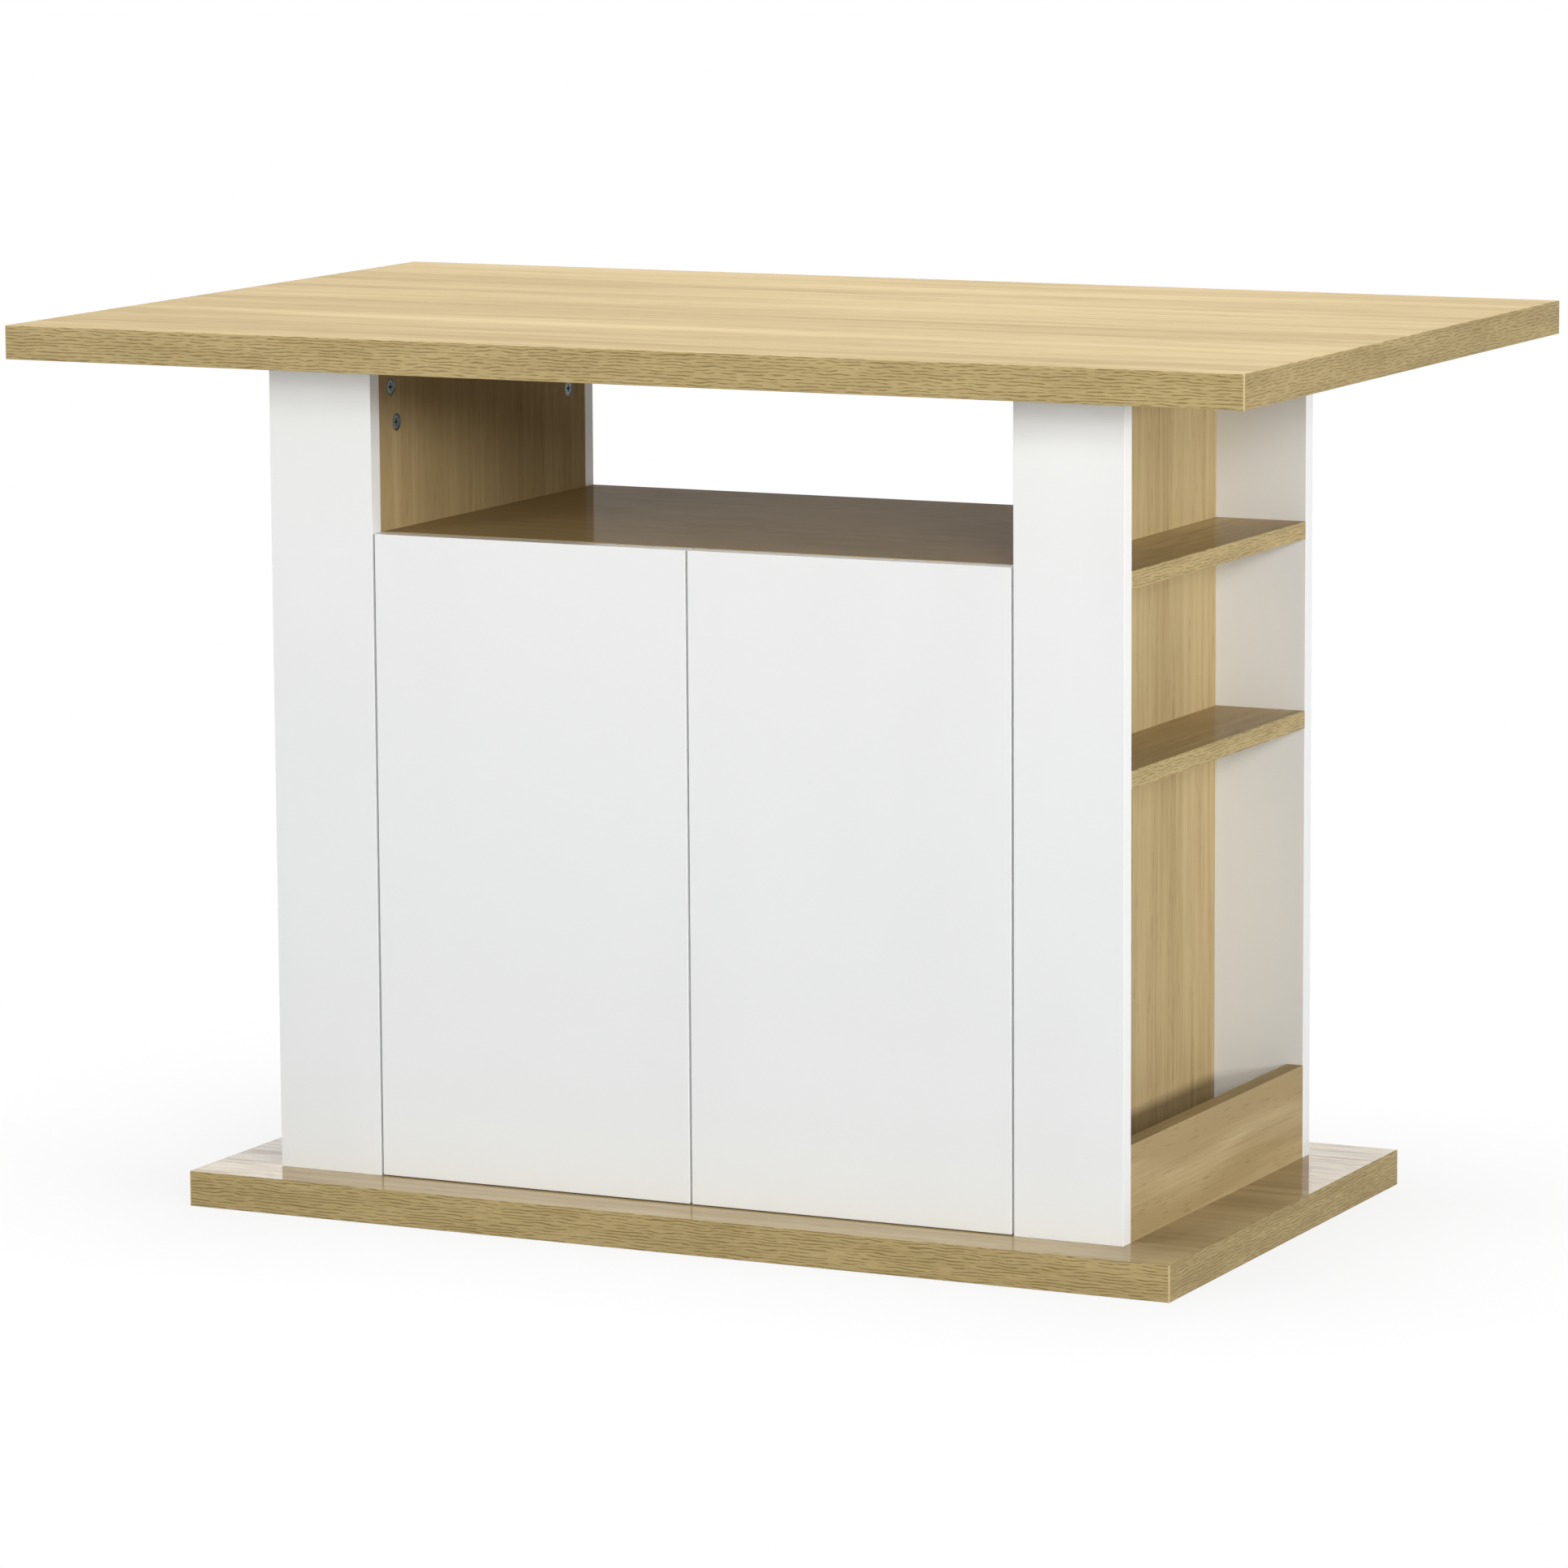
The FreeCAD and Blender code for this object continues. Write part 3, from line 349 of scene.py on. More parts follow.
# %% [markdown]
# ## White boards
#
# The posts, the doors and the back are white boards. Their paper is neutral and satin, with the slight
# orange-peel texture of pressed resin, and it is painted a little brighter where the edge is rounded, as a
# painted highlight. A flat white would look like paper cut-outs, so slow noise moves the colour and the
# roughness by a little, and fine noise gives the peel. The edges of the doors are painted a purer white,
# which is painted light: it lightens the shaded gaps round them.

# %% White boards
WHITE = (0.850, 0.864, 0.862, 1)
WHITE_DULL = (0.822, 0.834, 0.832, 1)
WHITE_PAINTED_LIGHT = (0.925, 0.932, 0.932, 1)
CLOUDS, PEEL = (0.50, 0.18), (0.0016, 0.0014)
CLOUD_RANGE, ROUND_RANGE, EDGE_RANGE = (0.25, 0.6), (0.02, 0.2), (0.8, 0.2)
WHITE_ROUGH, CLOUD_ROUGH, PEEL_ROUGH = 0.34, 0.10, 0.06
PEEL_DEPTH = 0.00001


def white_board(name, edge_painted_light):
    """White paper under resin, with a purer white painted on rounded edges as a highlight, and on a share of the
    edge faces as light for the gaps.
    """
    def recipe(place, facing):
        clouds = strands(place, Z, CLOUDS, seed=4.4)
        peel = strands(place, Z, PEEL, seed=6.6, detail=1.0)
        colour = tint(WHITE_DULL, WHITE, between(clouds, *CLOUD_RANGE))
        # Rounded edges are tinted towards a purer white: a painted highlight.
        rounded = between(arris(facing), *ROUND_RANGE)
        # On the doors, faces that don't face front or back are tinted a purer white: painted light that lightens
        # the shaded gaps.
        edge = between(abs(axes(facing)[Y]), *EDGE_RANGE)
        return {
            "Base Color": tint(colour, WHITE_PAINTED_LIGHT, rounded.math("MAXIMUM", rounded, edge_painted_light * edge)),
            "Roughness": WHITE_ROUGH + CLOUD_ROUGH * (clouds - MEAN) + PEEL_ROUGH * (peel - MEAN),
            "Normal": relief(peel, PEEL_DEPTH),
        }
    return finish(name, recipe, Specular_IOR_Level=0.35, Coat_Weight=0.15, Coat_Roughness=0.25)


posts = [f"{side}_{end}_post" for side in ("left", "right") for end in ("front", "back")]
dress(white_board("white board", edge_painted_light=0.0), *posts, "cabinet_back")
dress(white_board("white door", edge_painted_light=1.0), "left_door", "right_door")

# %% [markdown]
# ## Fittings of metal, plastic and beech
#
# The fittings are small, but they show when the doors are open. Cast zinc is dull and slightly mottled,
# plated steel is smoother with a faint brushing, the latches are moulded plastic with a fine spark texture,
# and the dowels are plain turned beech. Metals have no colour under their shine, so their base colour is the
# colour of the shine.

# %% Finishes of the fittings
BRUSHING, SPARK, FLOW = (0.004, 0.0003), (0.0005, 0.0005), (0.02, 0.006)
RAYS, FLECKS = (0.006, 0.0006), (0.003, 0.0004)
BEECH_LIGHT = (0.66, 0.47, 0.27, 1)
BEECH_DARK = (0.50, 0.33, 0.17, 1)
BEECH_FLECK = (0.30, 0.17, 0.08, 1)
TONE_RANGE, WORN_RANGE, FLECK_RANGE = (0.3, 0.7), (0.03, 0.25), (0.60, 0.75)
CAST_ROUGH, BRUSHED_ROUGH, WORN_POLISH = 0.20, 0.10, 0.08
CAST_HEIGHT, BRUSHED_HEIGHT = 0.6, 0.4
SPARK_SHARE, SPARK_ROUGH = 0.3, 0.14
FLECK_SHARE, BEECH_ROUGH, RAY_ROUGH = 0.6, 0.60, 0.10
FITTING_DEPTH, BEECH_DEPTH = 0.00002, 0.00004


def metal(light, dark, roughness, mottle):
    """A metal with soft mottling of a size in metres and fine brushing."""
    def recipe(place, facing):
        cast = strands(place, Z, (mottle, mottle), seed=2.2, detail=3.0)
        brushed = strands(place, X, BRUSHING, seed=9.4, detail=1.0)
        worn = between(arris(facing), *WORN_RANGE)
        rough = roughness + CAST_ROUGH * (cast - MEAN) + BRUSHED_ROUGH * (brushed - MEAN)
        return {
            "Base Color": tint(tint(dark, light, between(cast, *TONE_RANGE)), light, worn),
            "Roughness": rough - WORN_POLISH * worn,
            "Normal": relief(CAST_HEIGHT * cast + BRUSHED_HEIGHT * brushed, FITTING_DEPTH),
        }
    return recipe


def moulded(light, dark, roughness):
    """Moulded plastic with a fine spark texture."""
    def recipe(place, facing):
        spark = strands(place, Z, SPARK, seed=3.5)
        flow = strands(place, Z, FLOW, seed=7.1)
        return {
            "Base Color": tint(dark, light, between(flow + SPARK_SHARE * (spark - MEAN), *TONE_RANGE)),
            "Roughness": roughness + SPARK_ROUGH * (spark - MEAN),
            "Normal": relief(spark, FITTING_DEPTH),
        }
    return recipe


def beech(place, facing):
    """Beech with its short dark flecks."""
    rays = strands(place, X, RAYS, seed=5.7)
    flecks = between(strands(place, X, FLECKS, seed=1.9, detail=1.0), *FLECK_RANGE)
    colour = tint(BEECH_DARK, BEECH_LIGHT, between(rays, *TONE_RANGE))
    return {
        "Base Color": tint(colour, BEECH_FLECK, FLECK_SHARE * flecks),
        "Roughness": BEECH_ROUGH + RAY_ROUGH * (rays - MEAN),
        "Normal": relief(rays - flecks, BEECH_DEPTH),
    }


# %% Dress the fittings
# The zinc's base colour is made very dark. This is painted shade, for the darker surroundings that a cam lock
# mirrors.
zinc = metal((0.150, 0.175, 0.180, 1), (0.085, 0.100, 0.105, 1), roughness=0.44, mottle=0.004)
steel = metal((0.74, 0.73, 0.71, 1), (0.60, 0.60, 0.60, 1), roughness=0.26, mottle=0.010)
grey = moulded((0.36, 0.37, 0.38, 1), (0.30, 0.31, 0.32, 1), roughness=0.48)
ivory = moulded((0.78, 0.78, 0.76, 1), (0.72, 0.72, 0.70, 1), roughness=0.42)
finishes = {
    "zinc_fitting": finish("cast zinc", zinc, Metallic=1.0),
    "steel_fitting": finish("plated steel", steel, Metallic=1.0),
    "grey_plastic": finish("grey plastic", grey),
    "white_plastic": finish("white plastic", ivory),
    "beech_dowel": finish("beech", beech, Specular_IOR_Level=0.3),
}
slots = {row["node"]: row["material_slot"] for row in frame["record"]["subparts"]}
for node, slot in slots.items():
    if slot in finishes:
        dress(finishes[slot], node)

# %% [markdown]
# ## Tools for the small fittings
#
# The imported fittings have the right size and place, but a screw without a cross or a hinge with knife-sharp
# edges looks wrong when a door stands open. So each fitting is modelled once, in millimetres around the
# origin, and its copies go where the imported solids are. Most of them begin as a disc that is drawn out ring
# by ring, as on a lathe, or as a block whose faces are pushed out. Crosses and bores are cut with Boolean
# modifiers, and a bevel softens the edges, because an edge that catches no light looks drawn.

# %% Begin, select and leave a piece
MERGED, FACING = 0.001, 0.9


def alone(piece):
    """Make a piece the only one selected."""
    bpy.ops.object.select_all(action="DESELECT")
    piece.select_set(True)
    bpy.context.view_layer.objects.active = piece


def begin(name, add, **size):
    """Add a primitive, alone selected, with its place in its mesh, and go into edit mode."""
    bpy.ops.object.select_all(action="DESELECT")
    add(**size)
    piece = bpy.context.object
    piece.name = name
    bpy.ops.object.transform_apply(location=True, rotation=True, scale=True)
    bpy.ops.object.mode_set(mode="EDIT")
    return piece


def block(name, low, high):
    """A block between two corners, in edit mode."""
    low, high = Vector(low), Vector(high)
    return begin(name, bpy.ops.mesh.primitive_cube_add, size=1, location=(low + high) / 2, scale=high - low)


def choose(piece, test, kind="FACE"):
    """Select the faces, or the edges, whose middle and direction pass a test."""
    bpy.ops.mesh.select_mode(type=kind)
    bpy.ops.mesh.select_all(action="DESELECT")
    mesh = bmesh.from_edit_mesh(piece.data)
    mesh.normal_update()
    for face in mesh.faces if kind == "FACE" else ():
        face.select_set(test(face.calc_center_median(), face.normal))
    for edge in mesh.edges if kind == "EDGE" else ():
        first, second = (corner.co for corner in edge.verts)
        edge.select_set(test((first + second) / 2, (second - first).normalized()))
    bmesh.update_edit_mesh(piece.data)


def leave(piece):
    """Merge doubles, turn the faces outwards and leave edit mode."""
    bpy.ops.mesh.select_all(action="SELECT")
    bpy.ops.mesh.remove_doubles(threshold=MERGED)
    bpy.ops.mesh.normals_make_consistent(inside=False)
    bpy.ops.object.mode_set(mode="OBJECT")
    return piece


# %% Draw out, round and turn
def push(x=0, y=0, z=0):
    """Extrude what is selected."""
    bpy.ops.mesh.extrude_region_move(TRANSFORM_OT_translate={"value": (x, y, z)})


def spread(share):
    """Scale what is selected about the Z axis."""
    bpy.ops.transform.resize(value=(share, share, 1), center_override=(0, 0, 0))


def round_off(piece, size, steps, test):
    """Round the edges that pass a test."""
    choose(piece, test, "EDGE")
    bpy.ops.mesh.bevel(offset=size, segments=steps, affect="EDGES")


def upright(at, way):
    """A test for the edges along Z."""
    return abs(way.z) > FACING


def turned(name, profile, sides=32):
    """A turned piece: a disc drawn along Z through rings of these radii and heights."""
    radius, height = profile[0]
    piece = begin(name, bpy.ops.mesh.primitive_circle_add, vertices=sides, radius=radius, fill_type="NGON",
                  location=(0, 0, height))
    bpy.ops.mesh.select_all(action="SELECT")
    for next_radius, next_height in profile[1:]:
        push(z=next_height - height)
        spread(next_radius / radius)
        radius, height = next_radius, next_height
    return leave(piece)


def fillet(radius, height, size):
    """Three rings round an outer corner: a lower one for a size above 0, and an upper one below 0."""
    inset, share = abs(size), 1 - math.sqrt(0.5)
    rings = [
        (radius - inset, height),
        (radius - share * inset, height + share * size),
        (radius, height + size),
    ]
    return rings if size > 0 else rings[::-1]


# %% Cut and soften
OVERCUT = 1.0


def carve(piece, cutter, operation="DIFFERENCE"):
    """Cut one piece out of another, or weld it on with UNION, and clear the cutter away."""
    alone(piece)
    cut = piece.modifiers.new("carve", "BOOLEAN")
    cut.object = cutter
    cut.operation = operation
    bpy.ops.object.modifier_apply(modifier=cut.name)
    bpy.data.objects.remove(cutter)


def drill(piece, radius, x, y, low, high):
    """Drill a hole along Z, right through from one height to another."""
    bit = turned("bit", [(radius, low - OVERCUT), (radius, high + OVERCUT)])
    bit.data.transform(Matrix.Translation((x, y, 0)))
    carve(piece, bit)


def soften(piece, width, angle=40):
    """Bevel the edges of a piece that are sharper than an angle, and shade its large faces level."""
    alone(piece)
    edges = piece.modifiers.new("soft edges", "BEVEL")
    edges.width = width
    edges.segments = 2
    edges.limit_method = "ANGLE"
    edges.angle_limit = math.radians(angle)
    bpy.ops.object.modifier_apply(modifier=edges.name)
    bpy.ops.object.shade_smooth_by_angle(angle=math.radians(angle))
    level = piece.modifiers.new("level faces", "WEIGHTED_NORMAL")
    level.keep_sharp = True
    bpy.ops.object.modifier_apply(modifier=level.name)
    print("pattern", piece.name, "has", len(piece.data.polygons), "faces")


# %% [markdown]
# ## Where the fittings go
#
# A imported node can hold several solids, such as the four screws of a door's hinges. Their boxes say where
# each of them sits and how large it is, so the main sizes and places of the fittings are read and not typed
# again. A pattern is copied to a point with its Z axis along one direction and its X axis along another, and
# scaled from millimetres. The copies of a node are joined into one piece that stands for it and moves with
# the same body.

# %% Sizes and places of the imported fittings
MM = 0.001
REAR = Vector((0, 1, 0))
FRONT = Vector((0, -1, 0))
UP = Vector((0, 0, 1))
DOWN = Vector((0, 0, -1))
INWARD = {"left": Vector((1, 0, 0)), "right": Vector((-1, 0, 0))}


def middle(box):
    return (box[0] + box[1]) / 2


def end_of(box, outward):
    """The middle of the side of a box that faces outward."""
    half = (box[1] - box[0]) / 2
    return middle(box) + Vector(reach * way for reach, way in zip(half, outward))


def solids(node):
    """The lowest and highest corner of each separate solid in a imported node."""
    mesh = bmesh.new()
    mesh.from_mesh(frame["nodes"][node].data)
    bmesh.ops.remove_doubles(mesh, verts=mesh.verts, dist=MERGED * MM)
    waiting = set(mesh.verts)
    boxes = []
    while waiting:
        front = [waiting.pop()]
        reached = []
        while front:
            corner = front.pop()
            reached.append(corner.co.copy())
            near = {edge.other_vert(corner) for edge in corner.link_edges} & waiting
            waiting -= near
            front.extend(near)
        boxes.append((Vector(map(min, *reached)), Vector(map(max, *reached))))
    mesh.free()
    return sorted(boxes, key=lambda box: tuple(middle(box)))


def extent(node):
    """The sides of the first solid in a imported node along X, Y and Z, in millimetres."""
    low, high = solids(node)[0]
    return [round(side / MM, 2) for side in high - low]


print("a hinge cup measures", extent("left_hinge_cups"), "mm")

# %% Set patterns in place
body_of = {}
for body, members in frame["record"]["behaviour"]["bodies"].items():
    body_of.update(dict.fromkeys(members, body))


def stand(point, outward, along=None):
    """Where a pattern goes: its origin on a point, Z outward and X along a direction at right angles."""
    along = along or Vector((outward.y, outward.z, outward.x))
    turn = Matrix((along, outward.cross(along), outward)).transposed().to_4x4()
    return Matrix.Translation(point) @ turn @ Matrix.Scale(MM, 4)


def fit(node, placings):
    """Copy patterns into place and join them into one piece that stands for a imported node."""
    bpy.ops.object.select_all(action="DESELECT")
    for pattern, matrix in placings:
        piece = bpy.data.objects.new(f"{node}_fitted", pattern.data.copy())
        piece.data.transform(matrix)
        bpy.context.scene.collection.objects.link(piece)
        piece.select_set(True)
    bpy.context.view_layer.objects.active = piece
    if len(placings) > 1:
        bpy.ops.object.join()
    piece.name = f"{node}_fitted"
    piece.data.materials.clear()
    piece.data.materials.append(finishes[slots[node]])
    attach(piece, body_of[node])
    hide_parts(node)
    print(piece.name, "has", len(placings), "copies and", len(piece.data.polygons), "faces")


# %% [markdown]
# ## Screws
#
# Two kinds of screw are used: a small pan-head screw for the fittings and a long countersunk one for the end
# shelves. Both are turned from tip to head. The thread is a row of rings and not a true spiral, because only
# the heads show, and a spiral of this pitch couldn't be told from rings. The cross is cut with two tapered
# bars, as the punch of the factory makes it.

# %% Rings of a screw
TIP, ROOT, SHANK, POINT, PITCH = 0.12, 0.68, 0.88, 1.20, 0.65
THREAD_TURN = (0.00, ROOT), (0.40, 1.00), (0.55, 1.00), (0.95, ROOT)
DOME_STEPS, DOME_TURN = 3, math.radians(56)
HEAD_EDGE = 0.4


def thread(crest, low, high):
    """The rings of a thread of this radius, from its low end to its high end."""
    pitch = PITCH * crest
    turns = range(int((high - low) / pitch))
    return [(share * crest, low + (turn + rise) * pitch) for turn in turns for rise, share in THREAD_TURN]


def pan_head(radius, tall):
    """The rings of a head with a straight side and a domed top."""
    rings = [(radius, -tall)]
    for step in range(DOME_STEPS + 1):
        lift = DOME_TURN * step / DOME_STEPS
        fall = 1 - math.sin(lift) / math.sin(DOME_TURN)
        rings.append((radius * math.cos(lift), -fall * tall / 2))
    return rings


def flat_head(radius, tall):
    """The rings of a countersunk head."""
    return [(radius / 2, -tall), (radius, -HEAD_EDGE), (radius, 0)]


def screw(name, node, crest, plain, head):
    """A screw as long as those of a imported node: a tip, a thread, a plain shank and a head."""
    length = max(extent(node))
    neck = head[0][1]
    tip = (TIP * crest, -length)
    winding = thread(crest, POINT * crest - length, neck - plain)
    shank = [(SHANK * crest, neck - plain), (SHANK * crest, neck)]
    return turned(name, [tip, *winding, *shank, *head], sides=24)


# %% Screws
CROSS_WIDTH, CROSS_DEPTH, CROSS_TAPER = 0.46, 0.70, 0.60
PAN_CROSS, FLAT_CROSS = 0.50, 0.58


def cut_cross(piece, reach):
    """Cut the tapered cross of a screwdriver into the face at the origin."""
    half, deep = CROSS_WIDTH * reach / 2, CROSS_DEPTH * reach
    for x, y in ((reach, half), (half, reach)):
        bar = block("bar", (-x, -y, -deep), (x, y, deep))
        choose(bar, lambda at, normal: normal.z < -FACING)
        spread(CROSS_TAPER)
        carve(piece, leave(bar))


pan_radius = min(extent("latch_screws")) / 2
pan_top = pan_head(pan_radius, tall=1.8)
pan_screw = screw("pan screw", "latch_screws", crest=1.75, plain=1.0, head=pan_top)
cut_cross(pan_screw, PAN_CROSS * pan_radius)
soften(pan_screw, width=0.08)

flat_radius = min(extent("left_shelf_screws")) / 2
flat_top = flat_head(flat_radius, tall=3.0)
flat_screw = screw("flat screw", "left_shelf_screws", crest=2.5, plain=10.0, head=flat_top)
cut_cross(flat_screw, FLAT_CROSS * flat_radius)
soften(flat_screw, width=0.12)


def set_screws(node, pattern, outward):
    """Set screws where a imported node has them, with their heads outward."""
    fit(node, [(pattern, stand(end_of(solid, outward), outward)) for solid in solids(node)])


set_screws("latch_screws", pan_screw, DOWN)
for side, inward in INWARD.items():
    set_screws(f"{side}_hinge_cup_screws", pan_screw, REAR)
    set_screws(f"{side}_hinge_plate_screws", pan_screw, inward)
    set_screws(f"{side}_strike_screw", pan_screw, REAR)
    set_screws(f"{side}_shelf_screws", flat_screw, inward)

# %% [markdown]
# ## Cam locks
#
# A cam lock is a zinc disc sunk in the board. Its mouth takes the head of a bolt from the next board, and a
# turn of the cross pulls the two together. The disc is turned with a raised rim, the mouth is a patch of its
# side pushed in, and the cross is cut last. Each lock's mouth looks to the edge of the board that lies a
# setback of 30 mm away.

# %% Cam locks
CAM_SETBACK = 30 * MM
CAM_EDGE, CAM_RIM, CAM_DISH = 0.6, 1.1, 0.5
MOUTH_LOW, MOUTH_HIGH, MOUTH_REACH = -9.0, -4.0, 5.0
MOUTH_SIDE, CAM_CROSS = 0.74, 0.60
cam_deep, _, cam_wide = sorted(extent("floor_cam_locks"))
cam_radius = cam_wide / 2
dish_radius = cam_radius - CAM_RIM
cam_lock = turned("cam lock", [
    *fillet(cam_radius, -cam_deep, CAM_EDGE), (cam_radius, MOUTH_LOW), (cam_radius, MOUTH_HIGH),
    *fillet(cam_radius, 0, -CAM_EDGE), (dish_radius, 0), (dish_radius - CAM_DISH, -CAM_DISH),
])
alone(cam_lock)
bpy.ops.object.mode_set(mode="EDIT")
choose(cam_lock, lambda at, normal: MOUTH_LOW < at.z < MOUTH_HIGH and at.x > MOUTH_SIDE * cam_radius)
push(x=-MOUTH_REACH)
leave(cam_lock)
cut_cross(cam_lock, CAM_CROSS * cam_radius)
soften(cam_lock, width=0.15)


def toward_edge(point, board):
    """The direction from a cam lock to the edge of the board that it pulls on."""
    ways = []
    for sign, corner in zip((-1, 1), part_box(board)):
        for axis in range(3):
            way = Vector((0, 0, 0))
            way[axis] = sign
            ways.append((abs(abs(corner[axis] - point[axis]) - CAM_SETBACK), axis, way))
    return min(ways, key=lambda entry: entry[:2])[2]


def set_cams(node, board, outward):
    """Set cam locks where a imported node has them, with their faces outward and their mouths to the edge."""
    fit(node, [(cam_lock, stand(end_of(solid, outward), outward, toward_edge(middle(solid), board)))
               for solid in solids(node)])


set_cams("floor_cam_locks", "compartment_floor", DOWN)
for side, inward in INWARD.items():
    set_cams(f"{side}_cam_locks", f"{side}_side_panel", inward)

# %% [markdown]
# ## Concealed hinges
#
# A concealed hinge has a drawn cup sunk in the door, a bent arm that reaches into it, and a plate on the
# side panel. The cup is turned as one shell, up the outside and back down the inside, and its flange is a
# plate with round ends. The arm is a strip of steel: a face is pushed along the path of the strip, corner by
# corner, and the bends are then rounded with two bevels, a wide one outside and a tight one inside. Two
# adjusting screws sit on its base.

# %% Hinge cups
SCREW_HOLE = 1.8
FLANGE, FLANGE_WIDE, FLANGE_ROUND = 1.0, 18.0, 8.5
CUP_RIM, CUP_WALL, CUP_BEND, CUP_EDGE, RIM_LIFT = 1.1, 0.8, 1.4, 0.3, 0.05
CUP_SCREWS = 48.0
cup_wide, cup_tall, flange_long = extent("left_hinge_cups")
rim, bottom = cup_wide / 2, FLANGE - cup_tall
bowl = rim - CUP_RIM
hollow = bowl - CUP_WALL
cup = turned("hinge cup", [
    *fillet(bowl, bottom, CUP_BEND), (bowl, RIM_LIFT), (rim, RIM_LIFT), *fillet(rim, FLANGE, -CUP_EDGE),
    (hollow + CUP_EDGE, FLANGE), (hollow, FLANGE - CUP_EDGE),
    *fillet(hollow, bottom + CUP_WALL, CUP_EDGE)[::-1],
], sides=48)
flange = block("flange", (-FLANGE_WIDE / 2, -flange_long / 2, 0), (FLANGE_WIDE / 2, flange_long / 2, FLANGE))
round_off(flange, FLANGE_ROUND, steps=8, test=upright)
leave(flange)
drill(flange, (bowl + hollow) / 2, 0, 0, 0, FLANGE)
carve(cup, flange, "UNION")
for reach in (-CUP_SCREWS / 2, CUP_SCREWS / 2):
    drill(cup, SCREW_HOLE, 0, reach, 0, FLANGE)
soften(cup, width=0.12)

# %% Hinge arms
STRIP, ARM_BASE = 2.0, 40.0
swings = {joint["child"]: Vector(joint["pos_m"]) for joint in frame["joints"] if joint["type"] == "hinge"}
arm_low, arm_high = ((corner - swings["left_door"]) / MM for corner in solids("left_hinge_arms")[0])
half_width = round((arm_high.z - arm_low.z) / 2, 2)
riser, base = round(arm_high.x - STRIP, 2), round(arm_low.x + STRIP, 2)
reach = round(arm_high.y, 2)
bridge = reach - ARM_BASE
arm = block("hinge arm", (0, -STRIP / 2, -half_width), (riser, STRIP / 2, half_width))
choose(arm, lambda at, normal: normal.x > FACING)
push(x=STRIP)
choose(arm, lambda at, normal: normal.y > FACING and at.x > riser)
push(y=bridge - STRIP / 2)
push(y=STRIP)
choose(arm, lambda at, normal: normal.x < -FACING and at.y > bridge)
push(x=base - riser)
push(x=-STRIP)
choose(arm, lambda at, normal: normal.y > FACING and at.x < base)
push(y=ARM_BASE - STRIP)
print("arm base", base, "riser", riser, "bridge", bridge, "reach", reach)

# %% Bends of the hinge arms
BEND_OUTSIDE, BEND_INSIDE, BASE_ROUND = 2.6, 0.8, 3.0
PRESS_BORDER, PRESS_DEPTH = 2.4, -0.5
KNUCKLE, KNUCKLE_EDGE, EYE = 2.5, 0.3, 1.25
NEAR = 0.01


def bends(*corners):
    """A test for the edges along Z at the corners of the strip's path."""
    def test(at, way):
        return upright(at, way) and any(abs(at.x - x) + abs(at.y - y) < NEAR for x, y in corners)
    return test


outside = (riser + STRIP, -STRIP / 2), (riser + STRIP, bridge + STRIP), (base - STRIP, bridge)
inside = (riser, STRIP / 2), (riser, bridge), (base, bridge + STRIP)
round_off(arm, BEND_OUTSIDE, steps=6, test=bends(*outside))
round_off(arm, BEND_INSIDE, steps=4, test=bends(*inside))
round_off(arm, BASE_ROUND, steps=5, test=lambda at, way: abs(way.x) > FACING and at.y > reach - NEAR)
bar = bridge + STRIP / 2
choose(arm, lambda at, normal: normal.y > FACING and bar < at.y < reach - NEAR and abs(at.x) < riser)
bpy.ops.mesh.inset(thickness=PRESS_BORDER, depth=PRESS_DEPTH)
leave(arm)
knuckle = turned("knuckle", [
    *fillet(KNUCKLE, -half_width, KNUCKLE_EDGE), *fillet(KNUCKLE, half_width, -KNUCKLE_EDGE),
])
carve(arm, knuckle, "UNION")
drill(arm, EYE, 0, 0, -half_width, half_width)
soften(arm, width=0.25)

# %% Adjusting screws and hinge plates
ADJUSTER, ADJUSTER_TALL, ADJUSTER_RISE = 3.0, 1.8, 1.3
ADJUSTERS = (27.0, 47.0)
PLATE_ROUND, PLATE_EDGE, PLATE_SCREWS = 5.0, 0.45, 32.0
adjuster = turned("adjusting screw", pan_head(ADJUSTER, ADJUSTER_TALL), sides=24)
cut_cross(adjuster, PAN_CROSS * ADJUSTER)
soften(adjuster, width=0.08)

plate_half = Vector((plate_side / 2 for plate_side in extent("left_hinge_plates"))).yzx
plate = block("hinge plate", -plate_half, plate_half)
round_off(plate, PLATE_ROUND, steps=6, test=upright)
leave(plate)
for place in (-PLATE_SCREWS / 2, PLATE_SCREWS / 2):
    drill(plate, SCREW_HOLE, 0, place, -plate_half.z, plate_half.z)
soften(plate, width=PLATE_EDGE)

# %% Set the hinges
for side, inward in INWARD.items():
    door_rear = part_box(f"{side}_door")[1].y
    pivot = swings[f"{side}_door"]
    cups, arms, plates = [], [], []
    for solid in solids(f"{side}_hinge_cups"):
        centre = middle(solid)
        cups.append((cup, stand(Vector((centre.x, door_rear, centre.z)), REAR, inward)))
        hinge = stand(Vector((pivot.x, pivot.y, centre.z)), inward.cross(REAR), inward)
        arms.append((arm, hinge))
        for along in ADJUSTERS:
            arms.append((adjuster, stand(hinge @ Vector((base + ADJUSTER_RISE, along, 0)), inward)))
    for solid in solids(f"{side}_hinge_plates"):
        plates.append((plate, stand(middle(solid), inward, REAR)))
    fit(f"{side}_hinge_cups", cups)
    fit(f"{side}_hinge_arms", arms)
    fit(f"{side}_hinge_plates", plates)

# %% [markdown]
# ## Push latches, strike plates and shelf pins
#
# The doors have no handles. A push on a door presses a sprung plunger, which lets the door go. The latch's
# housing is a moulded box with a round belly, hollowed sides and an ear for a screw on each side. The
# plunger and the shelf pins are turned, and the strike plate is a small pressed plate with a dimple where
# the plunger meets it.

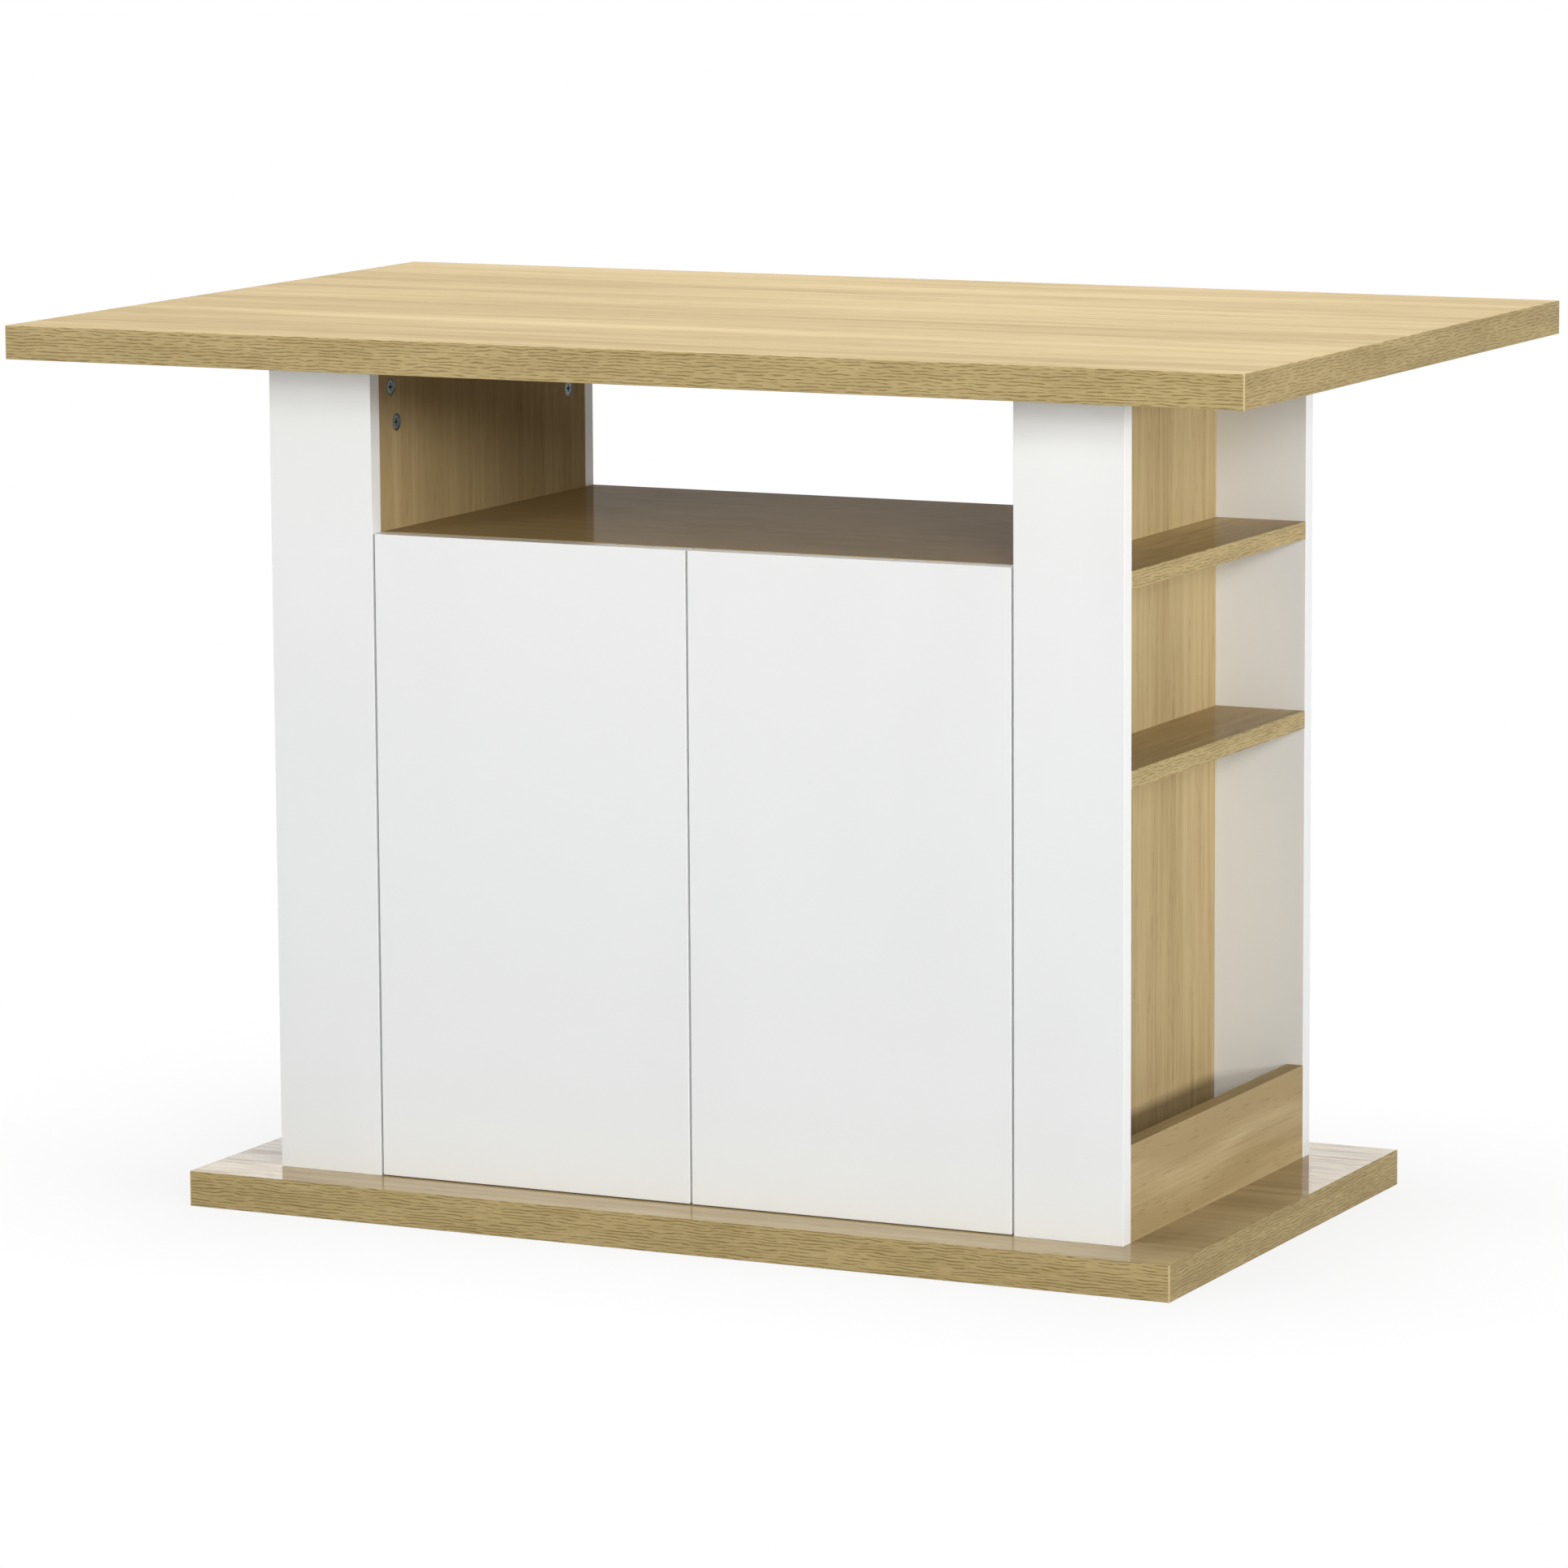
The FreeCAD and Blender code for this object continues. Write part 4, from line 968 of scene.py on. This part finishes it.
# %% Latch housings
LATCH_WIDE, BELLY_ROUND, SIDE_BORDER, SIDE_DEPTH = 16.0, 3.5, 2.0, -0.7
EAR_TALL, EAR_FRONT, EAR_REAR, EAR_ROUND = 3.0, 12.0, 28.0, 6.0
BORE_GAP, BORE_DEEP = 0.1, 28.5
ears_wide, latch_long, latch_tall = extent("left_latch_housing")
plunger_wide, plunger_long, _ = extent("left_latch_plunger")
plunger_radius = plunger_wide / 2

housing = block("latch housing", (-LATCH_WIDE / 2, 0, -latch_tall), (LATCH_WIDE / 2, latch_long, 0))
round_off(housing, BELLY_ROUND, steps=5, test=lambda at, way: abs(way.y) > FACING and at.z < -latch_tall / 2)
choose(housing, lambda at, normal: abs(normal.x) > FACING)
bpy.ops.mesh.inset(thickness=SIDE_BORDER, depth=SIDE_DEPTH, use_individual=True)
leave(housing)
ears = block("ears", (-ears_wide / 2, EAR_FRONT, -EAR_TALL), (ears_wide / 2, EAR_REAR, 0))
round_off(ears, EAR_ROUND, steps=6, test=upright)
carve(housing, leave(ears), "UNION")
ear_middle = (LATCH_WIDE + ears_wide) / 4
for place in (-ear_middle, ear_middle):
    drill(housing, SCREW_HOLE, place, (EAR_FRONT + EAR_REAR) / 2, -EAR_TALL, 0)
bore = turned("bore", [(plunger_radius + BORE_GAP, -BORE_DEEP), (plunger_radius + BORE_GAP, OVERCUT)])
lying = Matrix.Rotation(math.radians(90), 4, "X")
bore.data.transform(Matrix.Translation((0, 0, -latch_tall / 2)) @ lying)
carve(housing, bore)
soften(housing, width=0.3)

# %% Latch plungers and strike plates
NOSE_ROUND, TAIL_ROUND, NOSE_DISH = 1.0, 0.8, 0.4
GROOVE_FRONT, GROOVE_REAR, GROOVE_DEEP = -5.0, -6.2, 0.5
STRIKE_ROUND, STRIKE_SCREW = 3.0, 6.0
DIMPLE, DIMPLE_SLOPE, DIMPLE_DEPTH = 3.6, 0.3, 0.6
groove = plunger_radius - GROOVE_DEEP
dish = plunger_radius / 2
plunger = turned("plunger", [
    *fillet(plunger_radius, -plunger_long, TAIL_ROUND), (plunger_radius, GROOVE_REAR), (groove, GROOVE_REAR),
    (groove, GROOVE_FRONT), (plunger_radius, GROOVE_FRONT), *fillet(plunger_radius, 0, -NOSE_ROUND),
    (dish, 0), (dish - NOSE_DISH, -NOSE_DISH),
])
soften(plunger, width=0.1)

strike_half = Vector((strike_side / 2 for strike_side in extent("left_strike_plate"))).xzy
strike = block("strike plate", -strike_half, strike_half)
round_off(strike, STRIKE_ROUND, steps=5, test=upright)
leave(strike)
drill(strike, SCREW_HOLE, 0, STRIKE_SCREW - strike_half.y, -strike_half.z, strike_half.z)
face = strike_half.z
meets = (middle(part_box("left_latch_plunger")) - middle(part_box("left_strike_plate"))).z / MM
dimple = turned("dimple", [
    (DIMPLE, face - DIMPLE_DEPTH), (DIMPLE + DIMPLE_SLOPE, face), (DIMPLE + DIMPLE_SLOPE, face + OVERCUT),
])
dimple.data.transform(Matrix.Translation((0, meets, 0)))
carve(strike, dimple)
soften(strike, width=0.2)

# %% Shelf pins
PIN_RADIUS, COLLAR_TALL, PIN_EDGE = 2.4, 1.0, 0.3
pin_long, collar_wide, _ = extent("shelf_pins")
collar = collar_wide / 2
walls = {side: end_of(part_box(f"{side}_side_panel"), inward).x for side, inward in INWARD.items()}
pin_out = round(abs(end_of(solids("shelf_pins")[0], INWARD["left"]).x - walls["left"]) / MM, 2)
pin = turned("shelf pin", [
    *fillet(PIN_RADIUS, pin_out - pin_long, PIN_EDGE), (PIN_RADIUS, 0), (collar, 0),
    *fillet(collar, COLLAR_TALL, -PIN_EDGE), (PIN_RADIUS, COLLAR_TALL),
    *fillet(PIN_RADIUS, pin_out, -PIN_EDGE),
], sides=24)
soften(pin, width=0.08)

# %% Set the latches, strikes and pins
pins = []
for side, inward in INWARD.items():
    latch_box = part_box(f"{side}_latch_housing")
    foot = Vector((middle(latch_box).x, latch_box[0].y, latch_box[1].z))
    fit(f"{side}_latch_housing", [(housing, stand(foot, UP, INWARD["left"]))])
    nose = end_of(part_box(f"{side}_latch_plunger"), FRONT)
    fit(f"{side}_latch_plunger", [(plunger, stand(nose, FRONT))])
    strike_middle = middle(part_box(f"{side}_strike_plate"))
    fit(f"{side}_strike_plate", [(strike, stand(strike_middle, REAR, INWARD["right"]))])
    for solid in solids("shelf_pins"):
        if middle(solid).x * walls[side] > 0:
            pins.append((pin, stand(Vector((walls[side], *middle(solid).yz)), inward)))
fit("shelf_pins", pins)

for pattern in (pan_screw, flat_screw, cam_lock, cup, arm, adjuster, plate, housing, plunger, strike, pin):
    bpy.data.objects.remove(pattern)
print("the patterns are cleared away")

# %% [markdown]
# ## Floor and background
#
# The picture has a plain white background. Turning the lamps up until the floor clips to white would wash
# the table out too, so the floor and the sky show white only to the camera and in reflections, and light the
# table as a plain floor and a dim room. For the same reason the floor is paler to the camera than it is to
# the light that bounces off it. It mixes some of its lit surface into the white near the table, which keeps
# the table's soft shadow, and is all white further off, so that no horizon shows.

# %% Floor
FLOOR_SIZE, FLOOR_DROP = 60, 0.0004
FLOOR_PALE = (0.80, 0.80, 0.80, 1)
FLOOR_DIM = (0.35, 0.35, 0.35, 1)
PURE_WHITE = (1, 1, 1, 1)
SHADOW_SHARE, SHADOW_NEAR, SHADOW_FAR = 0.16, 0.4, 1.2
bpy.ops.object.select_all(action="DESELECT")
bpy.ops.mesh.primitive_grid_add(
    x_subdivisions=4, y_subdivisions=4, size=FLOOR_SIZE, location=(0, 0, -FLOOR_DROP))
floor = bpy.context.object
floor.name = "floor"
bpy.ops.object.transform_apply(location=True, rotation=True, scale=True)


def seen(start):
    """1 for the rays that show the background: those of the camera, of reflections and through glass."""
    kinds = ("Camera", "Glossy", "Transmission")
    camera, glossy, through = (start.node("ShaderNodeLightPath", output=f"Is {kind} Ray") for kind in kinds)
    return start.math("MAXIMUM", start.math("MAXIMUM", camera, glossy), through)


floor_paint = bpy.data.materials.new("floor")
floor_paint.use_nodes = True
floor_paint.node_tree.nodes.clear()
start = Wire(floor_paint.node_tree)
dim = start.node("ShaderNodeBsdfDiffuse", None, {"Color": FLOOR_DIM})
pale = start.node("ShaderNodeBsdfDiffuse", None, {"Color": FLOOR_PALE})
lit = start.node("ShaderNodeMixShader", None, {0: seen(start), 1: dim, 2: pale})
white_light = start.node("ShaderNodeEmission", None, {"Color": PURE_WHITE, "Strength": 1.0})
ground = start.node("ShaderNodeTexCoord", output="Object")
away = start.node("ShaderNodeVectorMath", {"operation": "LENGTH"}, {0: ground}, "Value")
whitened = 1 - SHADOW_SHARE + SHADOW_SHARE * between(away, SHADOW_NEAR, SHADOW_FAR)
paint = start.node("ShaderNodeMixShader", None, {0: seen(start) * whitened, 1: lit, 2: white_light})
start.node("ShaderNodeOutputMaterial", None, {"Surface": paint})
floor.data.materials.append(floor_paint)
print("floor", [round(side, 1) for side in floor.dimensions])

# %% Background
ROOM_LIGHT = 0.06
world = bpy.data.worlds.new("room")
bpy.context.scene.world = world
world.use_nodes = True
world.node_tree.nodes.clear()
start = Wire(world.node_tree)
strength = ROOM_LIGHT + (1 - ROOM_LIGHT) * seen(start)
sky = start.node("ShaderNodeBackground", None, {"Color": PURE_WHITE, "Strength": strength})
start.node("ShaderNodeOutputWorld", None, {"Surface": sky})
bpy.context.scene.view_settings.view_transform = "Standard"
print("room light", ROOM_LIGHT)

# %% [markdown]
# ## Lamps
#
# Six soft lamps light the table as a small studio would. Two in front light the doors, one at the right
# lights the end shelves, one above lights the top and one behind fills the back. The sixth is a low screen
# behind the table that is there for its reflection: it whitens the ends of the glossy plinth. Three of the
# lamps don't show in reflections, because their glare would wash the table top out when it is seen from
# other sides. A lamp's level is the light it throws on a surface that faces it, where 1 shows a white
# surface as white. The power for a level grows with the square of the distance.

# %% Lamps
AIM = Vector((0, 0, 0.45))


def soft_lamp(name, turn, rise, distance, width, tall, level, mirrored=True):
    """A rectangular lamp, turned and raised by degrees from the front, that gives this level of light."""
    turn, rise = math.radians(turn), math.radians(rise)
    away = Vector((math.sin(turn) * math.cos(rise), -math.cos(turn) * math.cos(rise), math.sin(rise)))
    data = bpy.data.lights.new(name, "AREA")
    data.shape = "RECTANGLE"
    data.size = width
    data.size_y = tall
    data.energy = level * (math.pi * distance) ** 2
    lamp = bpy.data.objects.new(name, data)
    lamp.location = AIM + distance * away
    lamp.rotation_euler = away.to_track_quat("Z", "Y").to_euler()
    lamp.visible_camera = False
    lamp.visible_glossy = mirrored
    bpy.context.scene.collection.objects.link(lamp)
    print("lamp", name, "at", [round(v, 2) for v in lamp.location], "with", round(data.energy), "W")


soft_lamp("left lamp", turn=-30, rise=8, distance=7, width=2.4, tall=1.0, level=0.34)
soft_lamp("key lamp", turn=38, rise=14, distance=6, width=2.0, tall=0.8, level=0.35, mirrored=False)
soft_lamp("right lamp", turn=76, rise=9, distance=7, width=2.6, tall=1.0, level=0.55, mirrored=False)
soft_lamp("top lamp", turn=0, rise=88, distance=5, width=3.0, tall=3.0, level=1.27)
soft_lamp("back lamp", turn=190, rise=4, distance=6, width=3.0, tall=1.4, level=0.50, mirrored=False)
soft_lamp("plinth screen", turn=197, rise=1.5, distance=3.2, width=3.4, tall=0.6, level=0.12)

# %% [markdown]
# ## Camera
#
# The table is seen from a little to the right of its front and from just above its top, through a long lens
# from some six metres away, so its edges run almost parallel. The camera looks along its own minus Z axis,
# with X to the right and Y up, so its matrix is built from those three directions: turned, tilted down and
# rolled a little.

# %% Camera
TURN = math.radians(25.897)
TILT = math.radians(8.728)
ROLL = math.radians(-0.338)
LENS = 166.6
STAND = Vector((2.6274, -5.4316, 1.2792))

ahead = Vector((-math.sin(TURN) * math.cos(TILT), math.cos(TURN) * math.cos(TILT), -math.sin(TILT)))
level_right = Vector((math.cos(TURN), math.sin(TURN), 0))
level_up = level_right.cross(ahead)
right = level_right * math.cos(ROLL) + level_up * math.sin(ROLL)
up = level_up * math.cos(ROLL) - level_right * math.sin(ROLL)

camera_data = bpy.data.cameras.new("camera")
camera_data.lens = LENS
camera = bpy.data.objects.new("camera", camera_data)
camera.matrix_world = Matrix.Translation(STAND) @ Matrix((right, up, -ahead)).transposed().to_4x4()
bpy.context.scene.collection.objects.link(camera)
bpy.context.scene.camera = camera
print("camera", [round(v, 3) for v in STAND], "lens", LENS)
